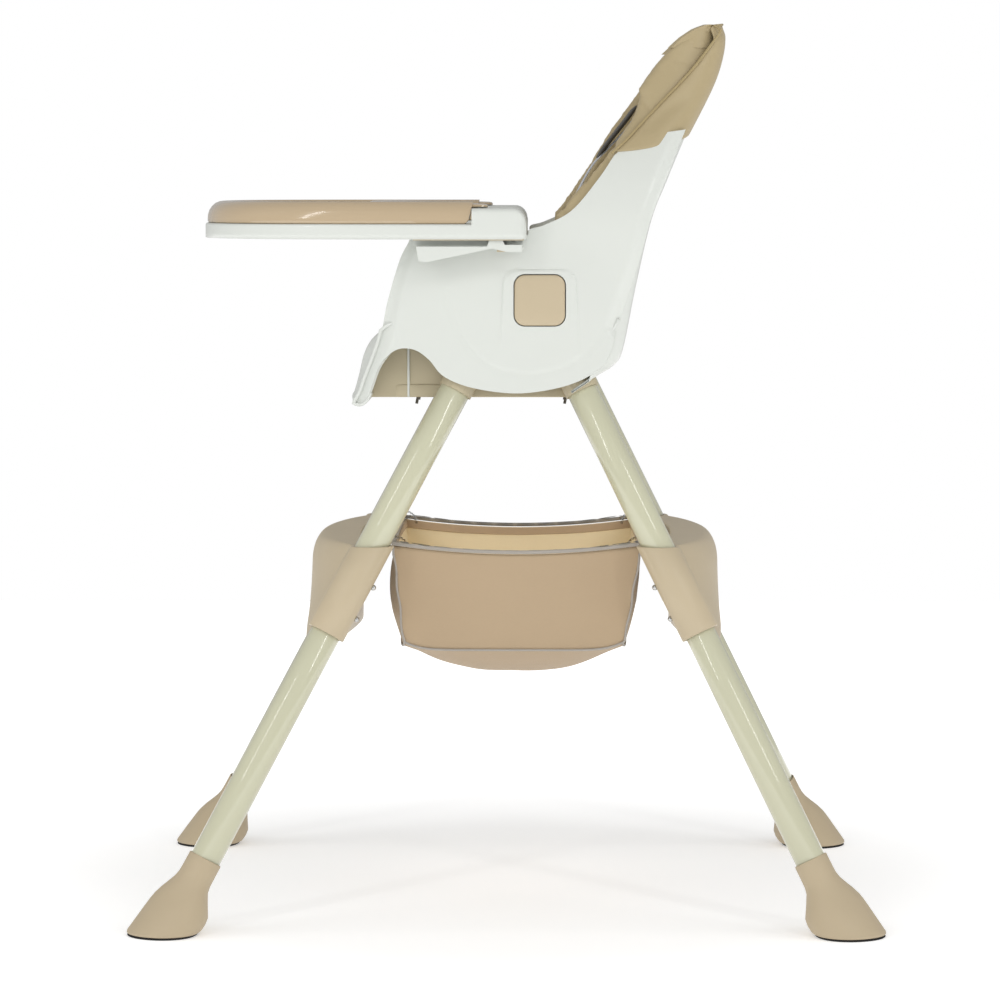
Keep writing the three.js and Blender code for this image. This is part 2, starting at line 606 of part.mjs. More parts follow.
// ---------------------------------------------------------------- basket
function basketSolid(inset, open) {
  const block = new THREE.BoxGeometry(2, 2, 1, 6, 6, 3).translate(0, 0, 0.5);
  return solid(
    deform(block, (u, v, w) => {
      const halfX = BASKET.bottomX + (RIM.halfX - BASKET.bottomX) * w - inset;
      const front = BASKET.bottomFront + (RIM.front - BASKET.bottomFront) * w + inset;
      const rear = BASKET.bottomRear + (RIM.rear - BASKET.bottomRear) * w - inset;
      const belly = 5 * Math.sin(Math.PI * w);
      const x = u * (halfX + belly * (1 - v * v));
      const y = (front + rear) / 2 + (v * (rear - front)) / 2 + v * belly * (1 - u * u);
      const bottom = BASKET.seam - BASKET.sag * (1 - u * u) * (1 - v * v) + inset;
      const top = RIM.z - 3 - RIM.sag * (1 - v * v) + open;
      return [x, y, bottom + (top - bottom) * w];
    }),
  );
}

function makeBasket() {
  place("basket", cut(basketSolid(0, 0), basketSolid(BASKET.cloth, 12)), FINISH.cloth);
  const r = 12;
  const [fy, ry] = [RIM.front, RIM.rear];
  const corner = (sx, y, end) =>
    [0, 1, 2, 3].map((i) => {
      const a = (i / 3) * (Math.PI / 2);
      const [c, s] = [Math.sin(a), Math.cos(a)];
      return new THREE.Vector3(sx * (RIM.halfX - r + r * c), y - end * (r - r * s), RIM.z);
    });
  const straight = (x) => [-70, 10, 90].map((y) => {
    const v = (y - (fy + ry) / 2) / ((ry - fy) / 2);
    return new THREE.Vector3(x, y, RIM.z - RIM.sag * (1 - v * v));
  });
  const loop = [
    ...corner(1, fy, -1),
    ...straight(RIM.halfX),
    ...corner(1, ry, 1).reverse(),
    ...corner(-1, ry, 1),
    ...straight(-RIM.halfX).reverse(),
    ...corner(-1, fy, -1).reverse(),
  ];
  const path = new THREE.CatmullRomCurve3(loop, true, "centripetal");
  const wire = new THREE.Shape().absarc(0, 0, 2.2, 0, Math.PI * 2);
  place("basket_rim", solid(new THREE.ExtrudeGeometry(wire, { steps: 48, extrudePath: path, curveSegments: 3 })),
    FINISH.steel);
  for (const leg of LEGS) {
    const y = leg.end < 0 ? RIM.front : RIM.rear;
    const arch = new THREE.CatmullRomCurve3([
      new THREE.Vector3(leg.side * 176, y + leg.end * 14, SLEEVE.top + 2.4),
      new THREE.Vector3(leg.side * 174, y + leg.end * 10, SLEEVE.top + 7),
      new THREE.Vector3(leg.side * 168, y + leg.end * 1, SLEEVE.top + 8),
      new THREE.Vector3(leg.side * 156, y - leg.end * 12, SLEEVE.top + 2),
      new THREE.Vector3(leg.side * 154, y - leg.end * 15, SLEEVE.top - 8),
    ]);
    const bar = new THREE.Shape().absarc(0, 0, 1.8, 0, Math.PI * 2);
    const hook = solid(new THREE.ExtrudeGeometry(bar, { steps: 10, extrudePath: arch, curveSegments: 2 }));
    place(`basket_hook_${leg.name}`, hook, FINISH.steel);
  }
}

makeLegs();
makePins();
makeBrackets();
makeFeet();
makeShell();
makeButtons();
makeBase();
makeTray();
makeInsert();
makeRailsAndLevers();
makeCushions();
makeHarness();
makeBasket();

export default chair;
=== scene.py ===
"""Baby high chair: the looks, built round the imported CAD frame. Lengths in the code are in millimetres."""
from math import copysign, cos, exp, hypot, pi, radians, sin, sqrt, tau

import bmesh
import bpy
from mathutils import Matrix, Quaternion, Vector, noise


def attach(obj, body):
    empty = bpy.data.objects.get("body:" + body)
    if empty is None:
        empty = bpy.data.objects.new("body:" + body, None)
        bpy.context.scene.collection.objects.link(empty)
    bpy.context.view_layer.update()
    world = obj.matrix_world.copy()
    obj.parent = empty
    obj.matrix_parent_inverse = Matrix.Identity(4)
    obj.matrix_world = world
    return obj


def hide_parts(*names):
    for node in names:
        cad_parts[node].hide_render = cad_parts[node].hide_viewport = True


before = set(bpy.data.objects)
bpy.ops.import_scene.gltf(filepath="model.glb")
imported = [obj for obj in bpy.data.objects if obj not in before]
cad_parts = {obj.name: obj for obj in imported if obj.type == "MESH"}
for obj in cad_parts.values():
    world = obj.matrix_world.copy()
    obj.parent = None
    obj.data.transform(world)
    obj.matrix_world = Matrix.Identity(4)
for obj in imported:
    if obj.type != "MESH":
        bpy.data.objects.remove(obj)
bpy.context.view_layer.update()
MM = 0.001
LEFT, RIGHT = 1, -1
SIDES = (("left", LEFT), ("right", RIGHT))


# ---- numbers and lines
def mix(a, b, t):
    return a + (b - a) * t


def ramp(low, high, value):
    t = min(1.0, max(0.0, (value - low) / (high - low)))
    return t * t * (3 - 2 * t)


def read(table, key):
    """Straight-line reading of a (key, value) table."""
    for (k0, v0), (k1, v1) in zip(table, table[1:]):
        if key <= k1:
            return mix(v0, v1, (key - k0) / (k1 - k0))
    return table[-1][1]


def smooth(points, count):
    """A Catmull-Rom line through the points, as count + 1 points."""
    ends = [points[0], *points, points[-1]]
    line = []
    for i in range(count + 1):
        at = i / count * (len(points) - 1)
        k = min(int(at), len(points) - 2)
        t = at - k
        weights = (
            (-t + 2 * t * t - t**3) / 2,
            (2 - 5 * t * t + 3 * t**3) / 2,
            (t + 4 * t * t - 3 * t**3) / 2,
            (t**3 - t * t) / 2,
        )
        line.append(tuple(sum(w * p[n] for w, p in zip(weights, ends[k : k + 4])) for n in range(len(points[0]))))
    return line


def turn_angles(count):
    return [i / count * tau for i in range(count)]


def quarter_angles(count, first=0):
    return [i / count * pi / 2 for i in range(first, count + 1)]


def shifted(line, distance):
    """A (Y, Z) line moved sideways, to its right as it runs."""
    moved = []
    for i, (y, z) in enumerate(line):
        (ay, az), (by, bz) = line[max(0, i - 1)], line[min(len(line) - 1, i + 1)]
        length = hypot(by - ay, bz - az)
        moved.append((y + (bz - az) / length * distance, z - (by - ay) / length * distance))
    return moved


# ---- meshes
def skin(rows, loop=False, ring=False, caps=False):
    """Quads between rows of points. loop closes each row, ring joins the last row to the first."""
    n = len(rows[0])
    pairs = [(i, i + 1) for i in range(len(rows) - 1)] + ([(len(rows) - 1, 0)] if ring else [])
    faces = [
        (a * n + i, a * n + (i + 1) % n, b * n + (i + 1) % n, b * n + i)
        for a, b in pairs
        for i in range(n if loop else n - 1)
    ]
    if caps:
        last = (len(rows) - 1) * n
        faces += [tuple(reversed(range(n))), tuple(range(last, last + n))]
    return [p for row in rows for p in row], faces


def closed(rows):
    """A solid lofted through closed rows of points."""
    return skin(rows, loop=True, caps=True)


def mirrored(half, first=0):
    """Half a row followed by its mirror image, which leaves out the last point and the first few."""
    return half + [(-x, *rest) for x, *rest in reversed(half[first:-1])]


def flipped(part, side):
    points, faces = part
    return [(side * x, y, z) for x, y, z in points], faces


def new_object(name, data):
    obj = bpy.data.objects.new(name, data)
    bpy.context.collection.objects.link(obj)
    return obj


def piece(name, part, look, body="chair", replaces=(), sharp=40, tidy=True):
    """A finished mesh object from points in millimetres, riding on its body."""
    points, faces = part
    data = bpy.data.meshes.new(name)
    data.from_pydata([(x * MM, y * MM, z * MM) for x, y, z in points], [], faces)
    if tidy:
        bm = bmesh.new()
        bm.from_mesh(data)
        bmesh.ops.remove_doubles(bm, verts=bm.verts, dist=1e-6)
        bmesh.ops.dissolve_degenerate(bm, dist=1e-6, edges=bm.edges)
        bmesh.ops.recalc_face_normals(bm, faces=bm.faces)
        bm.to_mesh(data)
        bm.free()
    data.materials.append(look)
    data.shade_smooth()
    data.set_sharp_from_angle(angle=radians(sharp))
    obj = new_object(name, data)
    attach(obj, body)
    if replaces:
        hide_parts(*replaces)
    return obj


def bevel(obj, width, segments=2, angle=40):
    mod = obj.modifiers.new("Bevel", "BEVEL")
    mod.width = width * MM
    mod.segments = segments
    mod.limit_method = "ANGLE"
    mod.angle_limit = radians(angle)
    mod.use_clamp_overlap = True
    mod.harden_normals = True


def thicken(obj, thickness, offset=-1.0):
    mod = obj.modifiers.new("Solidify", "SOLIDIFY")
    mod.thickness = thickness * MM
    mod.offset = offset
    mod.use_even_offset = True
    mod.use_quality_normals = True


def subdivide(obj, levels=1):
    mod = obj.modifiers.new("Subdivision", "SUBSURF")
    mod.levels = mod.render_levels = levels


def bar(name, side, sections, look, body="chair", sharp=40):
    """A solid on one side, through pairs of a Y and an (X, Z) section."""
    rows = [[(side * x, y, z) for x, z in section] for y, section in sections]
    return piece(name, closed(rows), look, body, sharp=sharp)


def restyle(node, look, width=0.0, rounds=0):
    """Gives a CAD node a finished material, softened edges or, for bent wire, rounder bends."""
    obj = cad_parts[node]
    obj.data.materials.clear()
    obj.data.materials.append(look)
    if rounds:
        subdivide(obj, rounds)
        obj.data.shade_smooth()
    if width:
        obj.data.shade_smooth()
        obj.data.set_sharp_from_angle(angle=radians(30))
        bevel(obj, width, 3, 30)


def turned(profile, a, b, sides=48, loop=False):
    """A round body with a (radius, height) profile, on the line from a to b."""
    a, b = Vector(a), Vector(b)
    up = (b - a).normalized()
    across = up.orthogonal().normalized()
    other = up.cross(across)
    rows = []
    for radius, height in profile:
        middle = a + up * height
        ring = [middle + (across * cos(t) + other * sin(t)) * radius
                for t in turn_angles(sides)]
        rows.append([tuple(p) for p in ring])
    return skin(rows, loop=True, ring=loop, caps=not loop)


def cord_tube(line, radius, sides=10, closed=False):
    """A tube along a line of points."""
    points = [Vector(p) for p in line]
    count = len(points)
    rows = []
    across = None
    for i, p in enumerate(points):
        before = points[i - 1] if closed or i else p
        after = points[(i + 1) % count] if closed or i < count - 1 else p
        way = (after - before).normalized()
        across = (across or way.orthogonal()) - way * (across or way.orthogonal()).dot(way)
        across.normalize()
        other = way.cross(across)
        rows.append([tuple(p + (across * cos(t) + other * sin(t)) * radius)
                     for t in turn_angles(sides)])
    return skin(rows, loop=True, ring=closed, caps=not closed)


def ribbon(line, low, high, thickness, steps=4):
    """A flat band along a (Y, Z) line, from x low to high, with rounded edges."""
    xs = [mix(low, high, i / steps) for i in range(steps + 1)]
    edge = thickness * 0.35
    rows = []
    for (ty, tz), (by, bz) in zip(shifted(line, -thickness / 2), shifted(line, thickness / 2)):
        middle = (ty + by) / 2, (tz + bz) / 2
        rows.append([*((x, ty, tz) for x in xs), (high + edge, *middle),
                     *((x, by, bz) for x in reversed(xs)), (low - edge, *middle)])
    return closed(rows)


# ---- materials
def linear(code):
    values = [int(code[i : i + 2], 16) / 255 for i in (0, 2, 4)]
    return [v / 12.92 if v <= 0.04045 else ((v + 0.055) / 1.055) ** 2.4 for v in values] + [1.0]


class Look:
    """A procedural material under construction: every surface gets its own colour, grain and roughness."""

    def __init__(self, name, slot):
        self.material = bpy.data.materials.new(name)
        self.material["slot"] = slot
        self.material.use_nodes = True
        self.tree = self.material.node_tree
        self.shader = self.tree.nodes["Principled BSDF"]
        self.place = self.add("ShaderNodeTexCoord").outputs["Object"]

    def add(self, kind, sockets=None, **settings):
        node = self.tree.nodes.new(kind)
        for key, value in settings.items():
            setattr(node, key, value)
        for key, value in (sockets or {}).items():
            self.put(node.inputs[key], value)
        return node

    def put(self, socket, value):
        if isinstance(value, bpy.types.NodeSocket):
            self.tree.links.new(value, socket)
        else:
            socket.default_value = value

    def noise(self, scale, detail=2.0, rough=0.5, stretch=(1, 1, 1)):
        spot = self.add("ShaderNodeMapping", {"Vector": self.place, "Scale": stretch}).outputs[0]
        return self.add("ShaderNodeTexNoise", {"Vector": spot, "Scale": scale, "Detail": detail,
                                               "Roughness": rough}).outputs[0]

    def math(self, operation, a, b=0.0):
        return self.add("ShaderNodeMath", {0: a, 1: b}, operation=operation).outputs[0]

    def colour(self, code, factor, spread=0.04, tint=(1.0, 1.0, 1.0)):
        base = linear(code)
        dark = [c * (1 - spread) * t for c, t in zip(base, (*tint, 1.0))][:3] + [1.0]
        light = [min(1.0, c * (1 + spread)) for c in base[:3]] + [1.0]
        mixer = self.add("ShaderNodeMix", {"Factor": factor}, data_type="RGBA")
        self.put(mixer.inputs["A"], dark)
        self.put(mixer.inputs["B"], light)
        return mixer.outputs["Result"]

    def range(self, value, low, high):
        return self.add("ShaderNodeMapRange", {"Value": value, "To Min": low, "To Max": high}).outputs[0]

    def bump(self, height, strength, distance, under=None):
        sockets = {"Height": height, "Strength": strength, "Distance": distance * MM}
        if under is not None:
            sockets["Normal"] = under
        return self.add("ShaderNodeBump", sockets).outputs[0]

    def finish(self, colour, roughness, normal, **constants):
        self.put(self.shader.inputs["Base Color"], colour)
        self.put(self.shader.inputs["Roughness"], roughness)
        self.put(self.shader.inputs["Normal"], normal)
        for key, value in constants.items():
            self.put(self.shader.inputs[key.replace("_", " ")], value)
        return self.material


def plastic(name, slot, code, rough, grain=0.06, coat=0.0, spread=0.025):
    """Moulded plastic: faint flow marks in the colour and a fine spark-eroded grain."""
    look = Look(name, slot)
    flow = look.noise(14, 3, 0.55, (1, 1, 2.2))
    grit = look.noise(1400, 2, 0.6)
    waves = look.noise(45, 1)
    normal = look.bump(waves, grain * 0.5, 0.5, look.bump(grit, grain, 0.12))
    shine = look.range(look.noise(160, 3), rough - 0.04, rough + 0.05)
    return look.finish(look.colour(code, flow, spread), shine, normal, Coat_Weight=coat, Coat_Roughness=0.12)


def enamel(name, slot, code):
    """Powder-coated tube: a gloss coat with a slight orange peel."""
    look = Look(name, slot)
    peel = look.noise(420, 2, 0.5)
    flow = look.noise(9, 2)
    return look.finish(look.colour(code, flow, 0.02), look.range(look.noise(210, 2), 0.26, 0.34),
                       look.bump(peel, 0.012, 0.1), Coat_Weight=1.0, Coat_Roughness=0.03)


def leather(name, slot, code, rough=0.42):
    """Artificial leather: pebbled grain, fine creases and a soft sheen."""
    look = Look(name, slot)
    pebbles = look.add("ShaderNodeTexVoronoi", {"Vector": look.place, "Scale": 620.0}, feature="SMOOTH_F1")
    cells = pebbles.outputs[0]
    creases = look.noise(95, 5, 0.62)
    folds = look.noise(17, 3, 0.5)
    normal = look.bump(folds, 0.16, 3.0, look.bump(creases, 0.14, 0.7, look.bump(cells, 0.22, 0.3)))
    tone = look.math("ADD", look.math("MULTIPLY", folds, 0.7), look.math("MULTIPLY", creases, 0.3))
    tinted = look.colour(code, tone, 0.07, (1.0, 0.97, 0.92))
    shine = look.range(creases, rough - 0.07, rough + 0.1)
    return look.finish(tinted, shine, normal, Sheen_Weight=0.06, Sheen_Roughness=0.4)


def woven(name, slot, code, pitch, strength=0.3, spread=0.07, rough=0.8, sheen=0.15):
    """Woven cloth: warp and weft threads pitch millimetres apart, crossing over and under."""
    look = Look(name, slot)
    spot = look.add("ShaderNodeSeparateXYZ", {"Vector": look.place})
    wave = tau / (pitch * MM)
    warp_at = look.math("ADD", spot.outputs[0], spot.outputs[1])
    weft_at = look.math("ADD", spot.outputs[2], look.math("MULTIPLY", spot.outputs[0], 0.15))
    warp = look.math("SINE", look.math("MULTIPLY", warp_at, wave))
    weft = look.math("SINE", look.math("MULTIPLY", weft_at, wave))
    threads = look.math("MULTIPLY", warp, weft)
    slub = look.noise(230, 4, 0.6, (1, 1, 3))
    rumple = look.noise(11, 3, 0.55)
    tone = look.math("ADD", look.math("MULTIPLY", slub, 0.5), look.math("MULTIPLY", rumple, 0.5))
    normal = look.bump(rumple, 0.12, 4.0, look.bump(threads, strength, 0.18, look.bump(slub, 0.15, 0.3)))
    return look.finish(look.colour(code, tone, spread), look.range(slub, rough - 0.08, rough + 0.08), normal,
                       Sheen_Weight=sheen, Sheen_Roughness=0.5)


def metal(name, slot, code, rough):
    """Plated steel, faintly brushed."""
    look = Look(name, slot)
    brush = look.noise(700, 3, 0.6, (1, 1, 0.15))
    return look.finish(look.colour(code, brush, 0.05), look.range(brush, rough, rough + 0.12),
                       look.bump(brush, 0.04, 0.1), Metallic=1.0)


def rubber(name, slot, code):
    look = Look(name, slot)
    dust = look.noise(60, 4, 0.6)
    grain = look.bump(look.noise(900, 2), 0.3, 0.2)
    return look.finish(look.colour(code, dust, 0.25), look.range(dust, 0.75, 0.95), grain)


WHITE = plastic("moulded_white", "white_plastic", "d2d5cf", 0.34, 0.05, 0.25, 0.012)
TAN = plastic("moulded_tan", "tan_plastic", "bdae92", 0.4, 0.1, 0.0, 0.03)
BASE = plastic("moulded_base", "base_plastic", "b9ae92", 0.5, 0.12, 0.0, 0.04)
GLOSSY = plastic("glossy_tan", "insert_plastic", "b8a486", 0.16, 0.02, 0.6, 0.015)
HOOF = plastic("moulded_foot", "foot_plastic", "b9a98d", 0.52, 0.14, 0.0, 0.03)
TUBE = enamel("enamelled_tube", "leg_tube", "c2c1a6")
SOLE = rubber("sole_rubber", "sole_rubber", "1d1b1a")
CHROME = metal("bright_steel", "bright_steel", "c6c6c4", 0.12)
SCREW = metal("dark_screw", "dark_screw", "5c5850", 0.35)
LEATHER = leather("soft_leather", "soft_leather", "ab9c7a")
CLOTH = woven("basket_cloth", "basket_fabric", "b39d80", 0.9)
# The bag's inside face: its cloth colour is painted far lighter than the outside, as painted light standing in for
# light shining through the thin fabric into the shaded bag.
BAG_INSIDE_PAINTED_LIGHT = woven("basket_inside_painted_light", "basket_fabric", "fbe9c6", 0.9)
PIPING = woven("grey_piping", "piping", "a8a29a", 1.2, 0.5)
EDGE = leather("leather_piping", "soft_leather", "a09069", 0.45)
WEBBING = woven("webbing", "webbing", "c6c9ce", 1.6, 0.7, 0.05)
DARK_CLOTH = woven("dark_pad_cloth", "dark_pad", "403d37", 1.1, 0.5, 0.15)
# A darker tan, painted as the shadow line under the tray's lower edge.
SEAM_SHADOW_PAINT = plastic("seam_shadow", "tan_plastic", "b3a68c", 0.6, 0.1)
RIM_STEEL = metal("rim_steel", "bright_steel", "a9a6a0", 0.3)
HEM = woven("hem_tape", "basket_fabric", "c0a88c", 1.1, 0.3)
BUCKLE = plastic("buckle_plastic", "buckle_plastic", "34332f", 0.45, 0.15, 0.0, 0.08)


# ---- camera, floor and light
def make_camera():
    camera = new_object("camera", bpy.data.cameras.new("camera"))
    camera.data.lens = 133.4
    camera.data.sensor_width = 36
    camera.location = (4.367, 0.04, 0.8396)
    camera.rotation_euler = (radians(90 - 4.93), 0, radians(90 + 0.655))
    bpy.context.scene.camera = camera


def area_light(name, place, aim, size, power, in_reflections, roll=0.0):
    """A rectangular lamp that points at aim, turned by roll degrees about its beam."""
    data = bpy.data.lights.new(name, "AREA")
    data.shape = "RECTANGLE"
    data.size, data.size_y = size
    data.energy = power
    lamp = new_object(name, data)
    lamp.location = place
    aimed = (Vector(aim) - Vector(place)).to_track_quat("-Z", "Y")
    lamp.rotation_euler = (aimed @ Quaternion((0, 0, 1), radians(roll))).to_euler()
    lamp.visible_glossy = in_reflections


def make_studio():
    scene = bpy.context.scene
    scene.view_settings.view_transform = "Standard"
    world = bpy.data.worlds.new("studio")
    world.use_nodes = True
    scene.world = world
    nodes, links = world.node_tree.nodes, world.node_tree.links
    background = nodes["Background"]
    background.inputs["Color"].default_value = (1, 1, 1, 1)
    path = nodes.new("ShaderNodeLightPath")
    level = nodes.new("ShaderNodeMapRange")
    level.inputs["To Min"].default_value = 0.46
    level.inputs["To Max"].default_value = 1.0
    links.new(path.outputs["Is Camera Ray"], level.inputs["Value"])
    links.new(level.outputs[0], background.inputs["Strength"])

    floor_look = bpy.data.materials.new("studio_floor")
    floor_look.use_nodes = True
    shader = floor_look.node_tree.nodes["Principled BSDF"]
    shader.inputs["Base Color"].default_value = (0.9, 0.9, 0.9, 1)
    shader.inputs["Roughness"].default_value = 0.9
    shader.inputs["Emission Color"].default_value = (1, 1, 1, 1)
    links, add = floor_look.node_tree.links, floor_look.node_tree.nodes.new
    reach, glow = add("ShaderNodeVectorMath"), add("ShaderNodeMapRange")
    reach.operation = "LENGTH"
    links.new(add("ShaderNodeTexCoord").outputs["Object"], reach.inputs[0])
    links.new(reach.outputs["Value"], glow.inputs["Value"])
    for key, value in (("From Min", 0.4), ("From Max", 1.2), ("To Min", 0.3), ("To Max", 0.8)):
        glow.inputs[key].default_value = value
    links.new(glow.outputs[0], shader.inputs["Emission Strength"])
    data = bpy.data.meshes.new("studio_floor")
    data.from_pydata([(-3, -3, 0), (3, -3, 0), (3, 3, 0), (-3, 3, 0)], [], [(0, 1, 2, 3)])
    data.materials.append(floor_look)
    new_object("studio_floor", data)

    area_light("strip_front", (3.0, -1.9, 2.05), (0, -0.2, 0.4), (0.16, 1.9), 11, True, -18)
    area_light("strip_rear", (3.0, 2.0, 2.05), (0, 0.2, 0.4), (0.22, 1.9), 13, True, 17)
    area_light("overhead_soft", (2.75, 0.0, 2.45), (0, 0, 0.5), (4.0, 0.6), 14, False)
    area_light("front_soft", (4.2, -0.6, 1.3), (0, 0, 0.4), (2.6, 1.4), 15, False)
    area_light("side_front", (1.0, -2.8, 2.2), (0, 0, 0.5), (2.0, 1.2), 19, False)
    area_light("side_rear", (1.0, 2.8, 2.2), (0, 0, 0.5), (2.0, 1.2), 19, False)


make_camera()
make_studio()


# ---- legs, pins and feet
LEGS = (("front_left", LEFT, -1), ("front_right", RIGHT, -1), ("rear_left", LEFT, 1), ("rear_right", RIGHT, 1))
RING_TOP = 428


def leg_point(side, end, z):
    share = (600 - z) / 600
    top_y = -60 if end < 0 else 86
    return Vector((side * mix(165, 287.5, share), mix(top_y, end * 381, share), z))


def leg_up(side, end):
    return (leg_point(side, end, 600) - leg_point(side, end, 0)).normalized()


def pin_way(side, end):
    inwards, up = Vector((0, -end, 0)), leg_up(side, end)
    return (inwards - up * inwards.dot(up)).normalized()


def make_legs():
    for name, side, end in LEGS:
        for part, high, low in (("upper", 624 if end < 0 else 607, 380), ("lower", 374, 30)):
            a, b = leg_point(side, end, low), leg_point(side, end, high)
            length = (b - a).length
            profile = [(16, 0), (17, 0), (17.5, 0.6), (17.5, length - 0.6), (17, length), (16, length)]
            tube = turned(profile, a, b, 64, loop=True)
            piece(f"{part}_tube_{name}", tube, TUBE, "chair", [f"{part}_leg_{name}"])


def make_pins():
    ball = [(3.3 * sin(t), 11.2 - 3.3 * cos(t)) for t in (i / 10 * pi for i in range(3, 11))]
    profile = [(0.01, 0), (2.6, 0), (2.6, 7.6), (2.1, 8.1), (2.1, 8.4), *ball[:-1], (0.01, 14.5)]
    for name, side, end in LEGS:
        for level, z in (("upper", 392), ("lower", 357)):
            start = leg_point(side, end, z) + pin_way(side, end) * 12
            part = turned(profile, start, start + pin_way(side, end), 24)
            piece(f"{level}_spring_pin_{name}", part, CHROME, f"{level}_pin_{name}", [f"{level}_pin_{name}"])


# Each ring: height on the leg's axis, tilt square to the tube (0 to 1), reach outwards, inwards, sideways.
HOOF_RINGS = (
    (2.9, 0, 43.6, 36.6, 36.4), (4.0, 0, 45.0, 37.8, 37.4), (6, 0, 45.5, 38.5, 37.8), (11, 0, 44.5, 39.2, 37.7),
    (18, 0, 43.1, 38.2, 36.8), (26, 0, 41.5, 33.6, 34.9), (34, 0, 39.9, 29.1, 32.2), (41, 0, 38.3, 25.4, 28.9),
    (45, 0.06, 36.2, 23.3, 26.6), (49, 0.25, 31.4, 21.9, 24.2), (53, 0.5, 25.8, 20.8, 22.2),
    (57, 0.78, 21.6, 20.0, 20.7), (61, 1, 19.9, 19.6, 19.9), (68, 1, 19.5, 19.5, 19.5),
    (82.2, 1, 19.4, 19.4, 19.4), (82.8, 1, 19.0, 19.0, 19.0), (83, 1, 18.1, 18.1, 18.1), (74, 1, 17.8, 17.8, 17.8),
)
SOLE_RINGS = ((0.0, 0, 41.6, 34.6, 34.4), (0.7, 0, 42.7, 35.7, 35.5), (2.3, 0, 42.7, 35.7, 35.5),
              (2.6, 0, 41, 34, 34))


def hoof_ring(side, end, height, tilt, out, inside, wide, sides=64):
    middle, up = leg_point(side, end, height), leg_up(side, end)
    away = Vector((0, end, 0))
    away = away.lerp((away - up * away.dot(up)).normalized(), tilt).normalized()
    across = Vector((1, 0, 0))
    across = across.lerp((across - up * across.dot(up)).normalized(), tilt).normalized()
    ring = []
    for t in turn_angles(sides):
        reach = mix(inside, out, (1 + cos(t)) / 2)
        ring.append(tuple(middle + away * cos(t) * reach + across * sin(t) * wide))
    return ring


def make_feet():
    for name, side, end in LEGS:
        rings = [hoof_ring(side, end, *ring) for ring in HOOF_RINGS]
        piece(f"hoof_{name}", closed(rings), HOOF, "chair", [f"foot_{name}"], sharp=50)
        rings = [hoof_ring(side, end, *ring) for ring in SOLE_RINGS]
        piece(f"sole_{name}", closed(rings), SOLE, "chair", [f"foot_pad_{name}"], sharp=50)


# ---- ring brackets
def sleeve(side, end):
    up = leg_up(side, end)
    rows = []
    profile = ((18, 0, 0), (21.3, 0, 0), (22, 0.8, 0),
               (22, 0, RING_TOP - 0.8), (21.2, 0, RING_TOP), (18, 0, RING_TOP))
    bottom = leg_point(side, end, 331)
    across = up.orthogonal().normalized()
    other = up.cross(across)
    for radius, height, plane in profile:
        row = []
        for t in turn_angles(64):
            p = bottom + up * height + (across * cos(t) + other * sin(t)) * radius
            if plane:
                p += up * ((plane - p.z) / up.z)
            row.append(tuple(p))
        rows.append(row)
    return skin(rows, loop=True, ring=True)


def crescent(end, bulge):
    """The bowed wall between two sleeves: flat on top, rounded outwards below, open underneath."""
    top = leg_point(LEFT, end, RING_TOP)
    at_sleeve, inside = abs(top.y) + 16, abs(top.y) - 18
    lean, splay = (381 - abs(leg_point(LEFT, end, 600).y)) / 600, 122.5 / 600
    rows = []
    for i in range(81):
        t = i / 40 - 1
        bow = 1 - abs(t) ** 2.4
        y_out = at_sleeve + (bulge - at_sleeve) * bow
        y_in = inside + (bulge - inside) * 0.4 * bow
        x = t * top.x
        share = t * t
        section = [(y_in, z) for z in (322, 350, 380, 410, 424)] + [(y_in + 0.5, 427.3), (y_in + 2, RING_TOP)]
        crest = y_out - 15 * (1 - share)
        section += [(mix(y_in + 2, crest - 1, k / 10), RING_TOP) for k in range(1, 11)] + [(crest - 0.1, 427.7)]
        for a in quarter_angles(12, 1):
            section.append((crest + 15 * (1 - share) * sin(a), RING_TOP - 0.6 - 30 * (1 - cos(a))))
        section += [(y_out, z) for z in (385, 370, 355, 342)]
        section += [(y_out - 4.5 * (1 - cos(a)) * bow, 336 - 14 * sin(a))
                    for a in quarter_angles(6)]
        row = []
        for y, z in section:
            drop = RING_TOP - z
            row.append((x * (1 + splay * drop / top.x), end * (y + lean * drop * share), z))
        rows.append(row)
    return skin(rows)


def make_brackets():
    for name, end, bulge in (("front", -1, 230), ("rear", 1, 246)):
        wall = piece(f"{name}_ring_wall", crescent(end, bulge), TAN, "chair", [f"{name}_ring_bracket"], sharp=60)
        thicken(wall, 3.2)
        for side_name, side in SIDES:
            piece(f"{name}_ring_sleeve_{side_name}", sleeve(side, end), TAN, sharp=50)


# ---- seat shell
BACK_LINE = (
    (590, 62), (617, 101), (630, 122), (649, 133), (723, 148), (795, 165),
    (840, 183), (891, 205), (950, 233), (984, 244), (1008, 247), (1040, 248),
)
SEAT_LINE = (
    (-177, 588), (-171, 600), (-166, 618), (-160, 642), (-151, 658), (-140, 665), (-128, 666), (-95, 662),
    (-35, 650), (25, 635), (75, 624), (98, 622), (116, 632), (128, 650),
)
FRONT_EDGE = smooth([(-108, 778.5), (-111, 770), (-121, 750), (-134.7, 704), (-141.5, 670), (-150, 646),
                     (-161, 618), (-167, 601), (-172.5, 591)], 60)
LOWER_EDGE = smooth([(-166, 587.5), (-156.5, 598), (-146, 626), (-137, 640), (-122, 650), (-104, 649), (-88, 638),
                     (-71, 619), (-38, 606), (12, 600), (61, 607), (95, 621), (114, 640), (124, 674)], 110)
PANEL_REAR = smooth([(124, 674), (147.6, 744), (162, 796), (179, 840), (197, 885), (202, 897)], 30)
ARMREST = smooth([(121, 868), (102, 840), (73, 806), (43, 790), (26, 785), (24, 778.5)], 34)
SHELL_HALF, SHELL_WALL = 190, 4
SEAT_FLAT = 94.5  # half the width of the seat's level middle
BUTTON_Y, BUTTON_Z = 37, 705
BUTTON_CAP = ((28.6, 178), (28.6, 189.2), (28.3, 190.2), (27.4, 190.9), (25.5, 191.3), (22, 191.6), (15, 191.9),
              (8, 192.0), (2, 192.05))  # half width and depth
